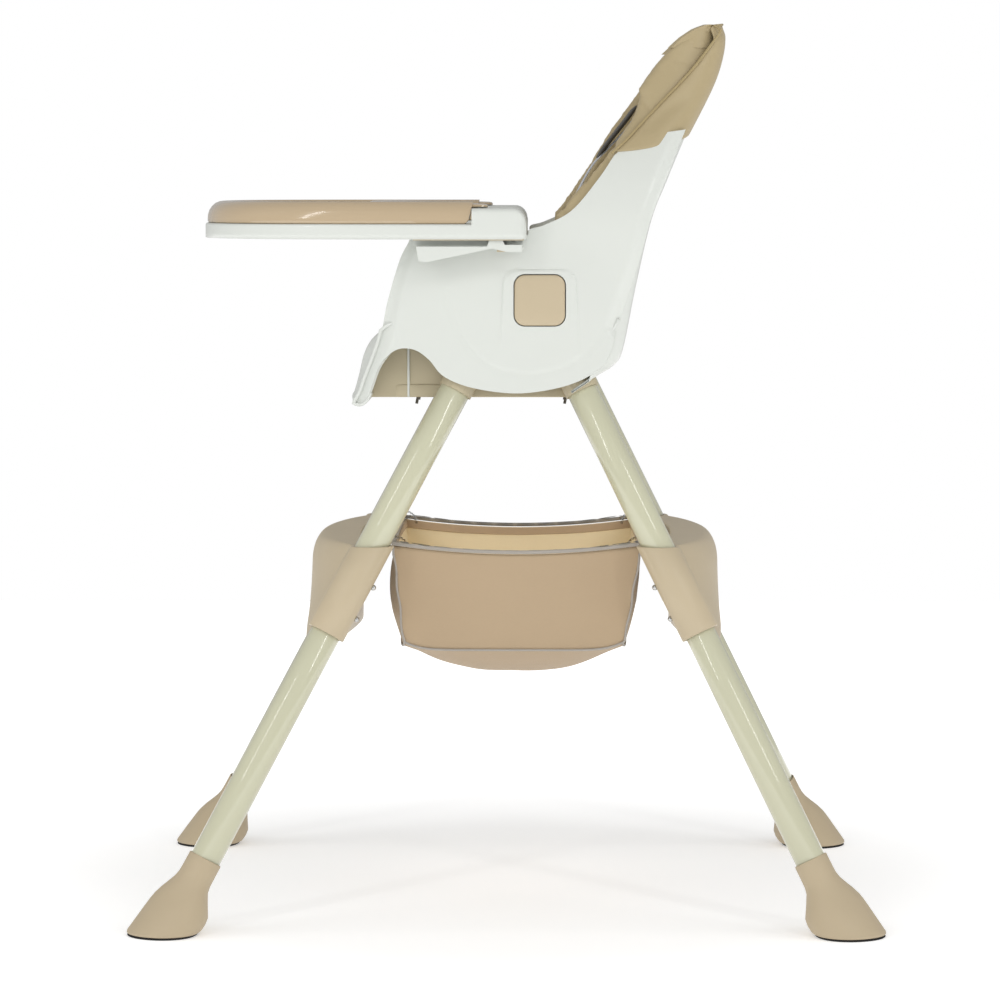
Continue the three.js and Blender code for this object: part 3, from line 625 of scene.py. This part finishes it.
BUTTON_HOUSING = ((170, 33, 14), (187, 33, 14), (187, 29.8, 12.8), (173, 29.8, 12.8))  # depth, half width, corner


def narrowing(z):
    return 1 - 0.4 * ramp(780, 1020, z)


def corner(z):
    """The radius of the bucket's rear corners."""
    return mix(30, 48, ramp(760, 900, z))


BACK_SMOOTH = smooth([(y, z) for z, y in BACK_LINE], 120)


def soft_back(z):
    return read([(p[1], p[0]) for p in BACK_SMOOTH], z)


def rounded_square(half, corner, count=6):
    ring = []
    for cy, cz, start in ((1, 1, 0), (-1, 1, 90), (-1, -1, 180), (1, -1, 270)):
        for i in range(count + 1):
            a = radians(start + 90 * i / count)
            ring.append(((half - corner) * cy + corner * cos(a),
                         (half - corner) * cz + corner * sin(a)))
    return ring


def cut_sheet(outline, holes, planes):
    """A flat sheet in (Y, Z) with holes, cut up by planes so that it can bend."""
    bm = bmesh.new()
    for loop in (outline, *holes):
        ring = [bm.verts.new((0, y, z)) for y, z in loop]
        for i, v in enumerate(ring):
            bm.edges.new((v, ring[(i + 1) % len(ring)]))
    bmesh.ops.triangle_fill(bm, use_beauty=True, use_dissolve=False, edges=bm.edges[:], normal=(1, 0, 0))
    for axis, values in planes:
        for value in values:
            way = Vector((axis == 0, axis == 1, axis == 2))
            bmesh.ops.bisect_plane(bm, geom=bm.verts[:] + bm.edges[:] + bm.faces[:], dist=1e-4,
                                   plane_co=way * value, plane_no=way)
    bm.verts.index_update()
    points = [tuple(v.co) for v in bm.verts]
    faces = [tuple(v.index for v in f.verts) for f in bm.faces]
    bm.free()
    return points, faces


def distance_to(line, y, z):
    best = 1e9
    for (ay, az), (by, bz) in zip(line, line[1:]):
        length = (by - ay) ** 2 + (bz - az) ** 2
        t = min(1, max(0, ((y - ay) * (by - ay) + (z - az) * (bz - az)) / length)) if length else 0
        best = min(best, hypot(y - mix(ay, by, t), z - mix(az, bz, t)))
    return best


SIDE_GROOVE = smooth([(-66, 716), (-60, 690), (-42, 652), (-8, 626), (40, 622), (84, 640), (112, 676),
                      (128, 722)], 28)


def pad_height(y, z):
    """The raised field round the button, proud at its top and dying out below."""
    half = 41.4 + max(0, 720 - z) * 0.05
    dy, dz = abs(y - BUTTON_Y) - (half - 17), (z - 722.4)
    gap = hypot(max(0, dy), max(0, dz)) + min(0, max(dy, dz)) - 17
    return 1.5 * ramp(0.9, -0.9, gap) * ramp(636, 715, z)


def panel_x(y, z):
    x = SHELL_HALF * narrowing(z) + pad_height(y, z)
    x -= 6.0 * ramp(14, 0, distance_to(PANEL_REAR, y, z)) * (y > 90)
    if z < 780 and y < -60:
        x -= 6.5 * ramp(17, 2, distance_to(FRONT_EDGE, y, z))
    if y > -75 and 610 < z < 730 and abs(y - BUTTON_Y) < 110:
        x -= 0.7 * ramp(5, 0, distance_to(SIDE_GROOVE, y, z))
    return x


def make_side_panels():
    outline = [*FRONT_EDGE, *LOWER_EDGE, *PANEL_REAR[1:], (166, 892), (134, 879), *ARMREST]
    hole = [(BUTTON_Y + y, BUTTON_Z + z) for y, z in rounded_square(29.6, 12.8)]
    step = 3
    planes = [
        (2, [z for z in range(590, 985, step) if abs(z - BUTTON_Z) > 1]),
        (1, list(range(-168, 236, step + 1))),
        (2, [z + 1.5 for z in range(690, 745, step)]),
        (1, [y for y in (-7, -6, -5, -4, -3, -2, 76, 77, 78, 79, 80, 81)]),
    ]
    points, faces = cut_sheet(outline, [hole], planes)
    points = [(panel_x(y, z), y, z) for _, y, z in points]
    for name, side in SIDES:
        part = flipped((points, faces if side == LEFT else [f[::-1] for f in faces]), side)
        replaced = ["seat_shell"] if side == LEFT else ()
        panel = piece(f"shell_side_{name}", part, WHITE, "chair", replaced, tidy=False)
        thicken(panel, SHELL_WALL)
        bevel(panel, 1.5, 3, 50)


BUCKET_START = ((600, 90), (640, 98), (674, 108), (744, 131), (796, 146), (840, 163), (874, 177), (884, 150),
                (905, 156), (931, 180), (953, 201), (973, 219), (992, 233), (1010, 240))


def half_plan(z, grow, start, side_steps=10, corner_steps=14):
    """The bucket's plan on the left side at height z, from start round to the middle of the back."""
    n = narrowing(z)
    w, r, back = (SHELL_HALF + grow) * n, (corner(z) + grow) * n, soft_back(z) + grow
    start = min(start, back - 2)
    turn = max(back - r, start + 0.5)
    r_y = back - turn
    side_line = [(w, mix(start, turn, (i / side_steps) ** 1.4)) for i in range(side_steps)]
    arc = [(w - r + r * cos(a), turn + r_y * sin(a))
           for a in quarter_angles(corner_steps)]
    flat = [((w - r) * (1 - i / 8), back) for i in range(1, 9)]
    return side_line + arc + flat


def seat_lift(x, y):
    """How far the seat rises towards its sides."""
    return 24 * max(0, abs(x) - SEAT_FLAT) / SEAT_FLAT * min(1, max(0, (y + 140) / 100))


def make_bucket():
    rows = []
    for i in range(91):
        z = mix(600, 1006, i / 90)
        rows.append([(x, y, z) for x, y in mirrored(half_plan(z, -1.5, read(BUCKET_START, z)))])
    bucket = piece("shell_back", skin(rows), WHITE, sharp=60)
    thicken(bucket, SHELL_WALL - 1)

    lip = [(-156, 600), (-160, 592), (-167, 588.5), (-173, 591), (-173.5, 595)]
    edge_line = [(z, y) for y, z in reversed(FRONT_EDGE)]
    rows = []
    for y, z in smooth([*lip, *SEAT_LINE[1:]], 130):
        row = []
        for k in range(61):
            x = mix(-187, 187, k / 60)
            lift = seat_lift(x, y) + 10 * ramp(150, 187, abs(x)) * ramp(-165, -120, y)
            tucked = max(y, read(edge_line, z) + 2) if y < -120 and z < 668 else y
            row.append((x, mix(y, tucked, ramp(135, 184, abs(x))), z + lift))
        rows.append(row)
    pan = piece("shell_seat", skin(rows), WHITE, sharp=60)
    thicken(pan, 3.6, 1.0)


def make_flanges():
    low, high = 774.5, 778.5
    sections = [(y, ((186, low + inset), (211.6 - inset, low + inset), (212.6 - inset, low + 1),
                     (212.6 - inset, high - 1), (211.6 - inset, high - inset), (186, high - inset)))
                for y, inset in ((-106, 1), (-105, 0), (19, 0), (20, 1))]
    for name, side in SIDES:
        bar(f"shell_flange_{name}", side, sections, WHITE, sharp=50)


def make_buttons():
    def square(x, half, radius, count=6):
        return [(x, BUTTON_Y + y, BUTTON_Z + z) for y, z in rounded_square(half, radius, count)]

    for name, side in SIDES:
        rows = []
        for half, x in BUTTON_CAP:
            radius = max(0.9, 12 - (28.75 - half) * 0.55) if half > 9 else half * 0.8
            rows.append(square(side * (x + 0.6), half, min(radius, half * 0.9), 8))
        piece(f"button_cap_{name}", closed(rows), TAN, f"button_{name}", [f"side_button_{name}"], sharp=50)
        rows = [square(side * x, half, radius) for x, half, radius in BUTTON_HOUSING]
        piece(f"button_housing_{name}", closed(rows), WHITE, sharp=50)


# ---- base plate
def make_base():
    restyle("seat_base", BASE, 1.2)
    for name, *_ in LEGS:
        restyle(f"base_screw_{name}", SCREW, 0.3)
    plan = [(150, -108), (150, 60), (149, 72), (144, 83), (134, 92), (120, 97), (60, 99), (0, 99.5)]
    front = [(149.4, -120), (146, -132), (138, -143), (126, -150), (110, -154), (60, -156.5), (0, -157)]
    loop = mirrored([*reversed(plan), *front], 1)
    rows = []
    for grow, z in ((0, 594.2), (1.2, 593.8), (2, 594.6), (2, 606.6), (1.4, 607.6), (0, 608)):
        rows.append([(x * (1 + grow / 150), y + grow * (1 if y > -20 else -1) * min(1, abs(y + 20) / 60), z)
                     for x, y in loop])
    piece("base_skirt", skin(rows, loop=True, ring=True), BASE, sharp=35)
    rib = (150, -113.8), (152.8, -113.6), (153.3, -112.4), (152.8, -111.2), (150, -111)
    for name, side in SIDES:
        rows = [[(side * x, y, z) for x, y in rib] for z in (594, 660)]
        piece(f"base_rib_{name}", skin(rows), WHITE, sharp=50)


# ---- tray
TRAY_HALF, TRAY_FRONT, TRAY_MIDDLE = 235, 353, 130
TRAY_LOW, TRAY_RIM, ARM_TOP, ARM_INNER = 774, 791, 808.5, 165
BELLY_DEPTH, BELLY_REAR = 80, -60


def spaced(line, count):
    """The line cut into count equal steps."""
    lengths = [0]
    for (ax, ay), (bx, by) in zip(line, line[1:]):
        lengths.append(lengths[-1] + hypot(bx - ax, by - ay))
    xs, ys = [[(s, p[n]) for s, p in zip(lengths, line)] for n in (0, 1)]
    return [(read(xs, lengths[-1] * i / count), read(ys, lengths[-1] * i / count)) for i in range(count + 1)]


def tray_plan(inset, arm_rows, nose_steps=60):
    """Matching outer and inner points round the tray: left arm, nose, right arm."""
    a, b = TRAY_HALF - inset, TRAY_FRONT - TRAY_MIDDLE - inset
    power = 2 / 2.7
    nose = [(a, BELLY_REAR)]
    nose += [(a * max(0, cos(t)) ** power, -TRAY_MIDDLE - b * sin(t) ** power)
             for t in quarter_angles(80)]
    outer = spaced(nose, nose_steps)
    inner = [((ARM_INNER + inset) * cos(t), BELLY_REAR - (BELLY_DEPTH + inset) * sin(t))
             for t in quarter_angles(nose_steps)]
    arm = [((a, y), (ARM_INNER + inset, y)) for y in arm_rows]
    left = arm + list(zip(outer, inner))[1:]
    return left + [((-ox, oy), (-ix, iy)) for (ox, oy), (ix, iy) in reversed(left[:-1])]


def arm_top(y):
    if y < -39:
        return TRAY_RIM
    drop = min(1, max(0, (y - 7) / 14.6))
    return ARM_TOP - 15.5 * (1 - sqrt(max(0, 1 - drop * drop)))


def make_tray():
    arm_rows = [22, 21.8, 21, 19.8, 18.4, 16.8, 15, 13, 11, 9, 5, 0, -8, -16, -24, -32, -38.9, -39.1, -46, -53,
                BELLY_REAR]
    rows = []
    for (ox, oy), (ix, iy) in tray_plan(0, arm_rows):
        inwards = Vector((ix - ox, iy - oy, 0))
        width = inwards.length
        inwards.normalize()
        on_arm = oy == iy
        corner = 10 - sqrt(max(0, 100 - max(0, oy - 12) ** 2)) if oy > 12 and ox * ix > 0 and on_arm else 0
        top, r = arm_top(oy) if on_arm else TRAY_RIM, 3.0 if not on_arm or oy < -39 else 6.0
        bend = [(r * (1 - cos(a)), top - r + r * sin(a)) for a in quarter_angles(6, 1)]
        section = [(corner, TRAY_LOW), (corner, TRAY_LOW + 6), (corner, top - r)]
        section += [(corner + q, z) for q, z in bend]
        section += [(mix(corner + r, width - r, k / 8), top + 0.9 * sin(k / 8 * pi) * (r > 4))
                    for k in range(1, 8)]
        section += [(width - q, z) for q, z in reversed(bend)]
        section += [(width, top - r), (width, TRAY_LOW + 6), (width, TRAY_LOW)]
        rows.append([(ox + inwards.x * q, oy + inwards.y * q, z) for q, z in section])
    tray = piece("tray_top", skin(rows, caps=True), WHITE, "tray", ["tray_base"], sharp=35)
    thicken(tray, 2.8)
    window = (205, 759.8), (216.2, 759.8), (217.4, 760.6), (217.4, 766), (205, 766)
    rail_end = [(y, ((203, low), (217, low), (219.5, low + 1.5), (219.5, 770.5), (218, 773.5), (203, 773.5)))
                for y, low in ((0.6, 761.2), (6, 760.4), (13, 761.5), (18.2, 764.5))]
    for name, side in SIDES:
        # A thin darker cord along the arm's lower edge: a painted shadow line under the tray's skirt.
        seam = ((234.2, -104), (234.2, -60), (234.2, -10), (234.2, 12), (232, 19))
        line = [(side * x, y, TRAY_LOW - 0.2) for x, y in seam]
        piece(f"tray_arm_shadow_line_{name}", cord_tube(line, 0.9, 6), SEAM_SHADOW_PAINT, "tray")
        bar(f"latch_window_{name}", side, [(y, window) for y in (-10.8, 0)], TAN, "tray")
        bar(f"rail_end_{name}", side, rail_end, WHITE, "tray")


INSERT_OUTER = (  # distance in from the edge and height
    (0, 792.6), (0, 796), (0.3, 800), (2, 805.5), (5, 810), (9, 813.5), (14, 815.6), (17, 816), (20, 815),
    (24, 810), (28, 802), (31, 798.2), (34, 797),
)
INSERT_FLOOR, INSERT_UNDER = 797, 791.4
CUP = Vector((-135, -235, 0))


def make_insert():
    rows = []
    arm_rows = [-40, -41.5, -46, -50, -55, BELLY_REAR]
    for (ox, oy), (ix, iy) in tray_plan(2.5, arm_rows, 80):
        inwards = Vector((ix - ox, iy - oy, 0))
        width = inwards.length
        inwards.normalize()
        k = min(1, (width / 2 - 3) / 34)
        section = [(q * k, z) for q, z in INSERT_OUTER]
        section += [(mix(34 * k, width - 34 * k, i / 26), INSERT_FLOOR) for i in range(1, 26)]
        section += [(width - q * k, z) for q, z in reversed(INSERT_OUTER)]
        section += [(width - 1.2, INSERT_UNDER)]
        section += [(mix(width - 1.2, 1.2, i / 12), INSERT_UNDER) for i in range(1, 12)] + [(1.2, INSERT_UNDER)]
        row = []
        for q, z in section:
            p = Vector((ox + inwards.x * q, oy + inwards.y * q, z))
            if z == INSERT_FLOOR:
                p.z -= 3.2 * ramp(37.5, 34.5, (Vector((p.x, p.y, 0)) - CUP).length)
            if oy == iy and oy > -42:
                lower = (794.5 - min(z, 794.5)) * 1.1
                p.y = -43.4 + (z - INSERT_UNDER) * 0.24 - lower - (0.7 if oy < -41 else 0)
            row.append(tuple(p))
        rows.append(row)
    piece("tray_insert_dish", closed(rows), GLOSSY, "insert", ["tray_insert"], sharp=42)
    low = 809.7
    tab = [(y, ((178 + narrow, low), (221 - narrow, low), (223.5 - narrow, low + 0.8), (223 - narrow, low + thick),
                (200, low + thick + 0.9), (176.5 + narrow, low + thick), (175.5 + narrow, low + 0.8)))
           for y, thick, narrow in ((-46, 3.4, 0), (-36, 3.3, 0), (-26, 3.0, 1), (-22.4, 2.4, 3), (-21.2, 1.4, 5))]
    for name, side in SIDES:
        bar(f"insert_tab_{name}", side, tab, GLOSSY, "insert", sharp=35)
        restyle(f"tray_rail_{name}", WHITE, 0.7)
        restyle(f"release_lever_{name}", WHITE, 0.8)
        restyle(f"button_spring_{name}", CHROME, 0, 1)


# ---- padded liner
def bake(obj):
    """Turns the object's modifiers into its own mesh."""
    done = bpy.data.meshes.new_from_object(obj.evaluated_get(bpy.context.evaluated_depsgraph_get()))
    obj.modifiers.clear()
    obj.data = done


PAD_VOXEL, PAD_CAP, PAD_PRESSURE, PAD_FRAMES = 4.5, 3.5, 4.0, 20


def puff(obj):
    """Swells a closed shape like a stuffed cover: remeshed, then blown up as cloth, each point PAD_CAP at most."""
    remesh = obj.modifiers.new("Remesh", "REMESH")
    remesh.mode = "VOXEL"
    remesh.voxel_size = PAD_VOXEL * MM
    bpy.context.view_layer.update()
    bake(obj)
    cloth = obj.modifiers.new("Cloth", "CLOTH")
    cloth.settings.quality = 4
    cloth.settings.use_pressure = True
    cloth.settings.uniform_pressure_force = PAD_PRESSURE
    cloth.settings.effector_weights.gravity = 0
    cloth.collision_settings.use_collision = False
    scene = bpy.context.scene
    for frame_number in range(1, PAD_FRAMES + 1):
        scene.frame_set(frame_number)
    swollen = obj.evaluated_get(bpy.context.evaluated_depsgraph_get()).data
    after = []
    for vertex, target in zip(obj.data.vertices, swollen.vertices):
        step = target.co - vertex.co
        after.extend(vertex.co + step * min(1, PAD_CAP * MM / max(step.length, 1e-9)))
    obj.modifiers.clear()
    obj.data.vertices.foreach_set("co", after)
    obj.data.update()
    scene.frame_set(1)
    subdivide(obj)
    bpy.context.view_layer.update()
    bake(obj)
    obj.data.materials.clear()
    obj.data.materials.append(LEATHER)


def press(obj, change):
    """Moves the vertices by a function of their place and normal, in millimetres."""
    before = [(v.co / MM, v.normal.copy()) for v in obj.data.vertices]
    after = [value * MM for place, normal in before for value in change(place, normal)]
    obj.data.vertices.foreach_set("co", after)
    obj.data.update()
    obj.data.shade_smooth()


LINER_BASE = ((672, 100), (700, 99), (735, 96), (765, 76))
LINER_TOP = ((981, 177), (1001, 198), (1011, 213), (1016, 225), (1019, 240))
LINER_EDGES = {
    LEFT: (*LINER_BASE, (784, 57), (800, 57), (812, 66), (831, 80), (846, 93), (856, 101), (866, 109), (875, 117),
           (896, 131), (911, 141), (924, 147.5), (936, 149.5), (943, 149), (957, 159), *LINER_TOP),
    RIGHT: (*LINER_BASE, (784, 55), (800, 57), (812, 65), (831, 77), (856, 93), (881, 109), (886, 114),
            (890, 114.5), (907, 126), (927, 141), (948, 156.5), (957, 160), *LINER_TOP),
}
SEAM_LINE = ((870, 118), (874, 122), (886, 135), (905, 152.6), (931, 177.3), (953, 198.6), (973, 216.4),
             (992, 230.6), (1006, 241), (1016, 245))


def liner_half(z, grow, side):
    """Points from the front edge round to the middle of the back, grow outside the shell's face."""
    return [(side * x, y) for x, y in half_plan(z, grow, read(LINER_EDGES[side], z))]


def liner_row(z, outer, inner):
    """One level of the liner: outside round the back, then inside the other way."""
    loops = []
    for grow in (outer, inner):
        left, right = liner_half(z, grow, LEFT), liner_half(z, grow, RIGHT)
        loops.append(left + list(reversed(right[:-1])))
    out, back = loops
    out = [wrapped(p, z) for p in out]
    roll = [(mix(out[0][0], back[0][0], 0.5), out[0][1] - 4)]
    far = [(mix(out[-1][0], back[-1][0], 0.5), out[-1][1] - 4)]
    return [(x, y, z) for x, y in roll + out + far + list(reversed(back))]


def wrapped(point, z):
    """In front of the seam the cover is folded outwards over the shell's rim."""
    x, y = point
    if z < 868:
        return point
    under = read(SEAM_LINE, z) + 9 * ramp(1005, 990, z)
    out = ramp(868, 876, z) * ramp(under + 6, under, y) * ramp(1024, 1018, z)
    return x + copysign(9.5 * narrowing(z), x) * out if abs(x) > 60 else x, y


CREASES = ((147, 938, 26, -34, 14), (118, 880, 24, -20, 12), (62, 812, 20, -26, 14))  # place, direction, reach


def make_liner():
    levels = [672, 676, *range(684, 780, 8), *range(784, 1008, 4), 1010, 1013, 1015.5]
    rows = [liner_row(z, -8, -18) for z in levels]
    rows.append(liner_row(1018, -9, -17))
    cover = piece("backrest_liner", closed(rows), LEATHER, "chair", ["back_cushion"])
    puff(cover)

    def sewn(p, normal):
        inside = normal.y < -0.5 and abs(p.x) < 120 * narrowing(p.z)
        for level in (735, 800, 865, 930):
            dip = exp(-(((p.z - level - 0.05 * abs(p.x)) / 5.5) ** 2))
            p = p - normal * 3.2 * dip * inside
        crease = 0
        if p.x > 60:
            for y, z, dy, dz, reach in CREASES:
                along = Vector((dy, dz)).normalized()
                gap = Vector((p.y - y, p.z - z))
                across = abs(gap.x * along.y - gap.y * along.x)
                run = gap.dot(along)
                fade = ramp(-reach, 0, run) * ramp(reach * 2.2, reach, run)
                crease += 1.6 * exp(-((across / 3.2) ** 2)) * fade
        waves = 1.1 * noise.noise(Vector((p.x * 0.02, p.y * 0.03, p.z * 0.03)))
        return p - normal * (crease - waves * 0.6)

    press(cover, sewn)
    rows = [liner_row(z, -8, -15) for z in (990, 996, 1002, 1007, 1011, 1014, 1016.5)]
    crown = piece("headrest_crown", closed(rows), LEATHER)
    bevel(crown, 2.2, 3, 35)

    levels = [*((i / 48, 0) for i in range(49)), (1.003, 1.5), (1.006, 4), (1.007, 8), (1.007, 13)]
    rows = [mirrored(hood_half(t, tuck)) for t, tuck in levels]
    hood = piece("headrest_cover", skin(rows), LEATHER, "chair", ["headrest_hood"], sharp=70)
    thicken(hood, 2.4)
    subdivide(hood)
    seam = [((SHELL_HALF + 1.2) * narrowing(z) + 3.4, y, z) for z, y in smooth(SEAM_LINE, 40)[:-3]]
    seam += [(x, y, z + 0.8) for x, y, z in hood_half(1.0)[1:]]
    piece("headrest_piping", cord_tube(mirrored(seam), 1.5, 8), EDGE)


def hood_half(t, tuck=0.0):
    """From the seam round to the middle of the back, t from the hem (0) to the top (1), tuck further in."""
    line = []
    count = 32
    for k in range(count + 1):
        u = k / count
        hem = mix(872, 892.5, ramp(0, 0.55, u))
        z = mix(hem, mix(1014.5, 1016.5, ramp(0, 0.3, u)), t)
        grow = 2.0 + 2.2 * sin(pi * min(1, t)) ** 0.7 - 3.6 * ramp(0.9, 1.0, t) - tuck
        start = read(SEAM_LINE, z) + 0.5 + tuck * 0.4 - 13 * ramp(0.86, 1.0, t)
        plan = half_plan(z, grow, start)
        x, y = spaced(plan, count)[k]
        across, along = (y - 168) * 0.62 - (z - 912) * 0.78, (y - 168) * 0.78 + (z - 912) * 0.62
        dip = 2.4 * exp(-(((across - 4) / 8) ** 2)) * ramp(-40, 0, along) * ramp(80, 30, along)
        line.append((x - dip * ramp(50, 70, x), y, z))
    return line


def seat_pad_rows():
    """Sections of the seat pad and its side flaps, from the front backwards."""
    rows = []
    for y, z in smooth(SEAT_LINE, 48):
        if not -116 <= y < 96:
            continue
        top = 755 if y > -100 else mix(700, 755, ramp(-118, -100, y))
        low = z + 17 + seat_lift(150, y) + 6
        under = [(x, seat_lift(x, y) + z + 17) for x in (k * 11.5 for k in range(13))]
        outside = [(157, low), (165, low + 12), (168, low + 30), (168, mix(low, top, 0.7)), (168, top)]
        inside = [(156, top), (155, mix(low, top, 0.7)), (153, low + 32), (146, low + 15), (138, low + 7)]
        upper = [(x, h + 10) for x, h in reversed(under[:-1])]
        rows.append(mirrored([(x, y, h) for x, h in under + outside + inside + upper], 1))
    return rows


def make_seat_cushion():
    pad = piece("seat_pad", closed(seat_pad_rows()), LEATHER, "chair", ["seat_cushion"])
    puff(pad)

    def sewn(p, normal):
        top = normal.z > 0.5 and abs(p.x) < 140
        for y in (-70, -15, 40):
            p = p - normal * 3.0 * exp(-(((p.y - y) / 5.5) ** 2)) * top
        return p + normal * 0.6 * noise.noise(Vector((p.x * 0.02, p.y * 0.03, p.z * 0.03)))

    press(pad, sewn)


# ---- harness
SHOULDER_LINE = ((182, 926), (156, 922), (137, 898), (115, 875), (95, 852), (62, 790), (28, 736))
PAD_LINE = ((149, 926), (139, 912), (128, 898), (117, 884), (104, 866))
WAIST_SECTION = ((0, 694.6), (1.4, 694.6), (1.6, 700), (1.6, 713), (1.4, 718.4), (0, 718.4), (-0.2, 706))


def make_harness():
    for name, side in SIDES:
        strap = flipped(ribbon(smooth(SHOULDER_LINE, 60), 33, 58, 1.6), side)
        piece(f"shoulder_webbing_{name}", strap, WEBBING, "chair", [f"shoulder_strap_{name}"])
        line = smooth(PAD_LINE, 30)
        rows = []
        for i, (y, z) in enumerate(line):
            end = min(i, 30 - i) / 30
            half = 19.5 * min(1, sqrt(max(0.02, 1 - (1 - min(1, end * 5)) ** 2)))
            tall = 2.6 * min(1, 0.35 + end * 5)
            (ay, az), (by, bz) = line[max(0, i - 1)], line[min(30, i + 1)]
            along = hypot(by - ay, bz - az)
            up = (-(bz - az) / along, (by - ay) / along)
            row = []
            for a in turn_angles(16):
                flat = copysign(abs(cos(a)) ** 0.6, cos(a)) * half
                high = copysign(abs(sin(a)) ** 0.8, sin(a)) * tall
                row.append((side * (45.5 + flat), y + up[0] * high, z + up[1] * high))
            rows.append(row)
        pad = piece(f"shoulder_pad_cover_{name}", closed(rows), DARK_CLOTH, "chair",
                    [f"shoulder_pad_{name}"])
        subdivide(pad)
        waist = smooth([(26, 6), (60, 20), (120, 62), (140, 84)], 24)
        rows = [[(side * x, y - dy, z) for dy, z in WAIST_SECTION] for x, y in waist]
        piece(f"waist_webbing_{name}", closed(rows), WEBBING, "chair", [f"waist_strap_{name}"])
    crotch = ribbon(smooth([(-29, 668), (-27, 676), (-20, 686), (-12, 696)], 20), -12.5, 12.5, 1.6)
    piece("crotch_webbing", crotch, WEBBING, "chair", ["crotch_strap"])
    restyle("harness_buckle", BUCKLE, 1.6)
    restyle("buckle_button", CHROME, 0.6)


# ---- basket
RIM_HALF, RIM_FRONT, RIM_REAR, RIM_Z, RIM_SAG = 170, -129, 152, 428, 10
BAG_HALF, BAG_FRONT, BAG_REAR, BAG_SEAM, BAG_SAG = 148, -117, 132, 303, 41


def bag_point(u, v, w, inset=0.0):
    """A point of the bag: u across, v front to back, w from the bottom seam (0) to the rim (1)."""
    half = mix(BAG_HALF, RIM_HALF, w) - inset
    front, rear = mix(BAG_FRONT, RIM_FRONT, w) + inset, mix(BAG_REAR, RIM_REAR, w) - inset
    belly = 5.0 * sin(pi * min(1, max(0, w)))
    x = u * (half + belly * (1 - v * v))
    slack = (17 if v < 0 else 12) * sin(pi * min(1, w * 0.85 + 0.15)) * (1 - u * u) * abs(v) ** 6
    y = (front + rear) / 2 + v * (rear - front) / 2 + copysign(slack, v)
    bottom = BAG_SEAM - BAG_SAG * (1 - u * u) * (1 - abs(v) ** 3)
    corner = 9 * max(0, 1 - w * 5) ** 2 * (abs(v) ** 8) * (abs(u) ** 8)
    z = mix(bottom, RIM_Z - 3 - RIM_SAG * (1 - v * v), w) + corner
    return Vector((x, y, z))


def ring_uv(steps=28):
    edge = [2 * i / steps - 1 for i in range(steps)]
    return ([(1, v) for v in edge] + [(-u, 1) for u in edge] + [(-1, -v) for v in edge] + [(u, -1) for u in edge])


def make_basket():
    ring = ring_uv()
    rows = []
    for i in range(29):
        w = 1 - i / 28
        row = []
        for u, v in ring:
            p = bag_point(u, v, w)
            free = sin(pi * w) ** 0.5
            soft = noise.noise(Vector((u * 2.1 + w, v * 2.3, w * 2.0 + 7)))
            soft += 0.4 * noise.noise(Vector((u * 6, v * 6, w * 5)))
            side_panel = abs(u) == 1
            out = Vector((copysign(1, u), 0, 0)) if side_panel else Vector((0, copysign(1, v), 0))
            row.append(tuple(p + out * (1.6 * soft * free * (1 - (v if side_panel else u) ** 4))))
        rows.append(row)
    for i in range(1, 25):
        share = 1 - i / 24.5
        row = []
        for u, v in ring:
            rumple = 1.4 * noise.noise(Vector((u * share * 3, v * share * 3, 3))) * (1 - share**4)
            row.append(tuple(bag_point(u * share, v * share, 0) + Vector((0, 0, rumple))))
        rows.append(row)
    bag = piece("basket_bag", skin(rows, loop=True), CLOTH, "chair", ["basket"], sharp=60)
    bm = bmesh.new()
    bm.from_mesh(bag.data)
    bottom = [e for e in bm.edges if e.is_boundary and max(v.co.z for v in e.verts) < 0.3]
    bmesh.ops.holes_fill(bm, edges=bottom, sides=0)
    bmesh.ops.recalc_face_normals(bm, faces=bm.faces)
    bm.to_mesh(bag.data)
    bm.free()
    bag.data.shade_smooth()
    bag.data.set_sharp_from_angle(angle=radians(60))
    # The inside of the thickened bag gets the cloth painted far lighter, as painted light coming through the
    # fabric.
    bag.data.materials.append(BAG_INSIDE_PAINTED_LIGHT)
    thicken(bag, 1.4)
    bag.modifiers["Solidify"].material_offset = 1

    def ridge(name, points, radius, ring=False):
        piece(name, cord_tube(points, radius, 8, ring), PIPING)

    for corner, u, v in LEGS:
        points = []
        for i in range(25):
            wander = Vector((0.7 * sin(i * 0.9), 0.8 * sin(i * 0.7 + 1), 0)) * (0 < i < 23)
            points.append(bag_point(u, v, i / 24) + Vector((u, v, 0)) * 0.9 + wander)
        ridge(f"basket_corner_piping_{corner}", points, 1.3)
        restyle(f"basket_hook_{corner}", CHROME, 0, 1)
    for name, w, radius, lift in (("bottom", 0.0, 1.3, 0), ("top", 1.0, 2.3, 2.9)):
        points = [bag_point(u, v, w) + Vector((0.9 * u * (abs(u) == 1), 0.9 * v * (abs(v) == 1), lift))
                  for u, v in ring]
        ridge(f"basket_{name}_piping", points, radius, True)
    restyle("basket_rim", RIM_STEEL, 0, 1)
    levels = ((0.995, 1.6), (0.99, 2.6), (0.92, 2.6), (0.915, 1.6))
    hem = [[tuple(bag_point(u, v, w, inset)) for u, v in ring] for w, inset in levels]
    piece("basket_hem", skin(hem, loop=True), HEM, sharp=50)


make_legs()
make_pins()
make_feet()
make_brackets()
make_side_panels()
make_bucket()
make_flanges()
make_buttons()
make_base()
make_tray()
make_insert()
make_liner()
make_seat_cushion()
make_harness()
make_basket()
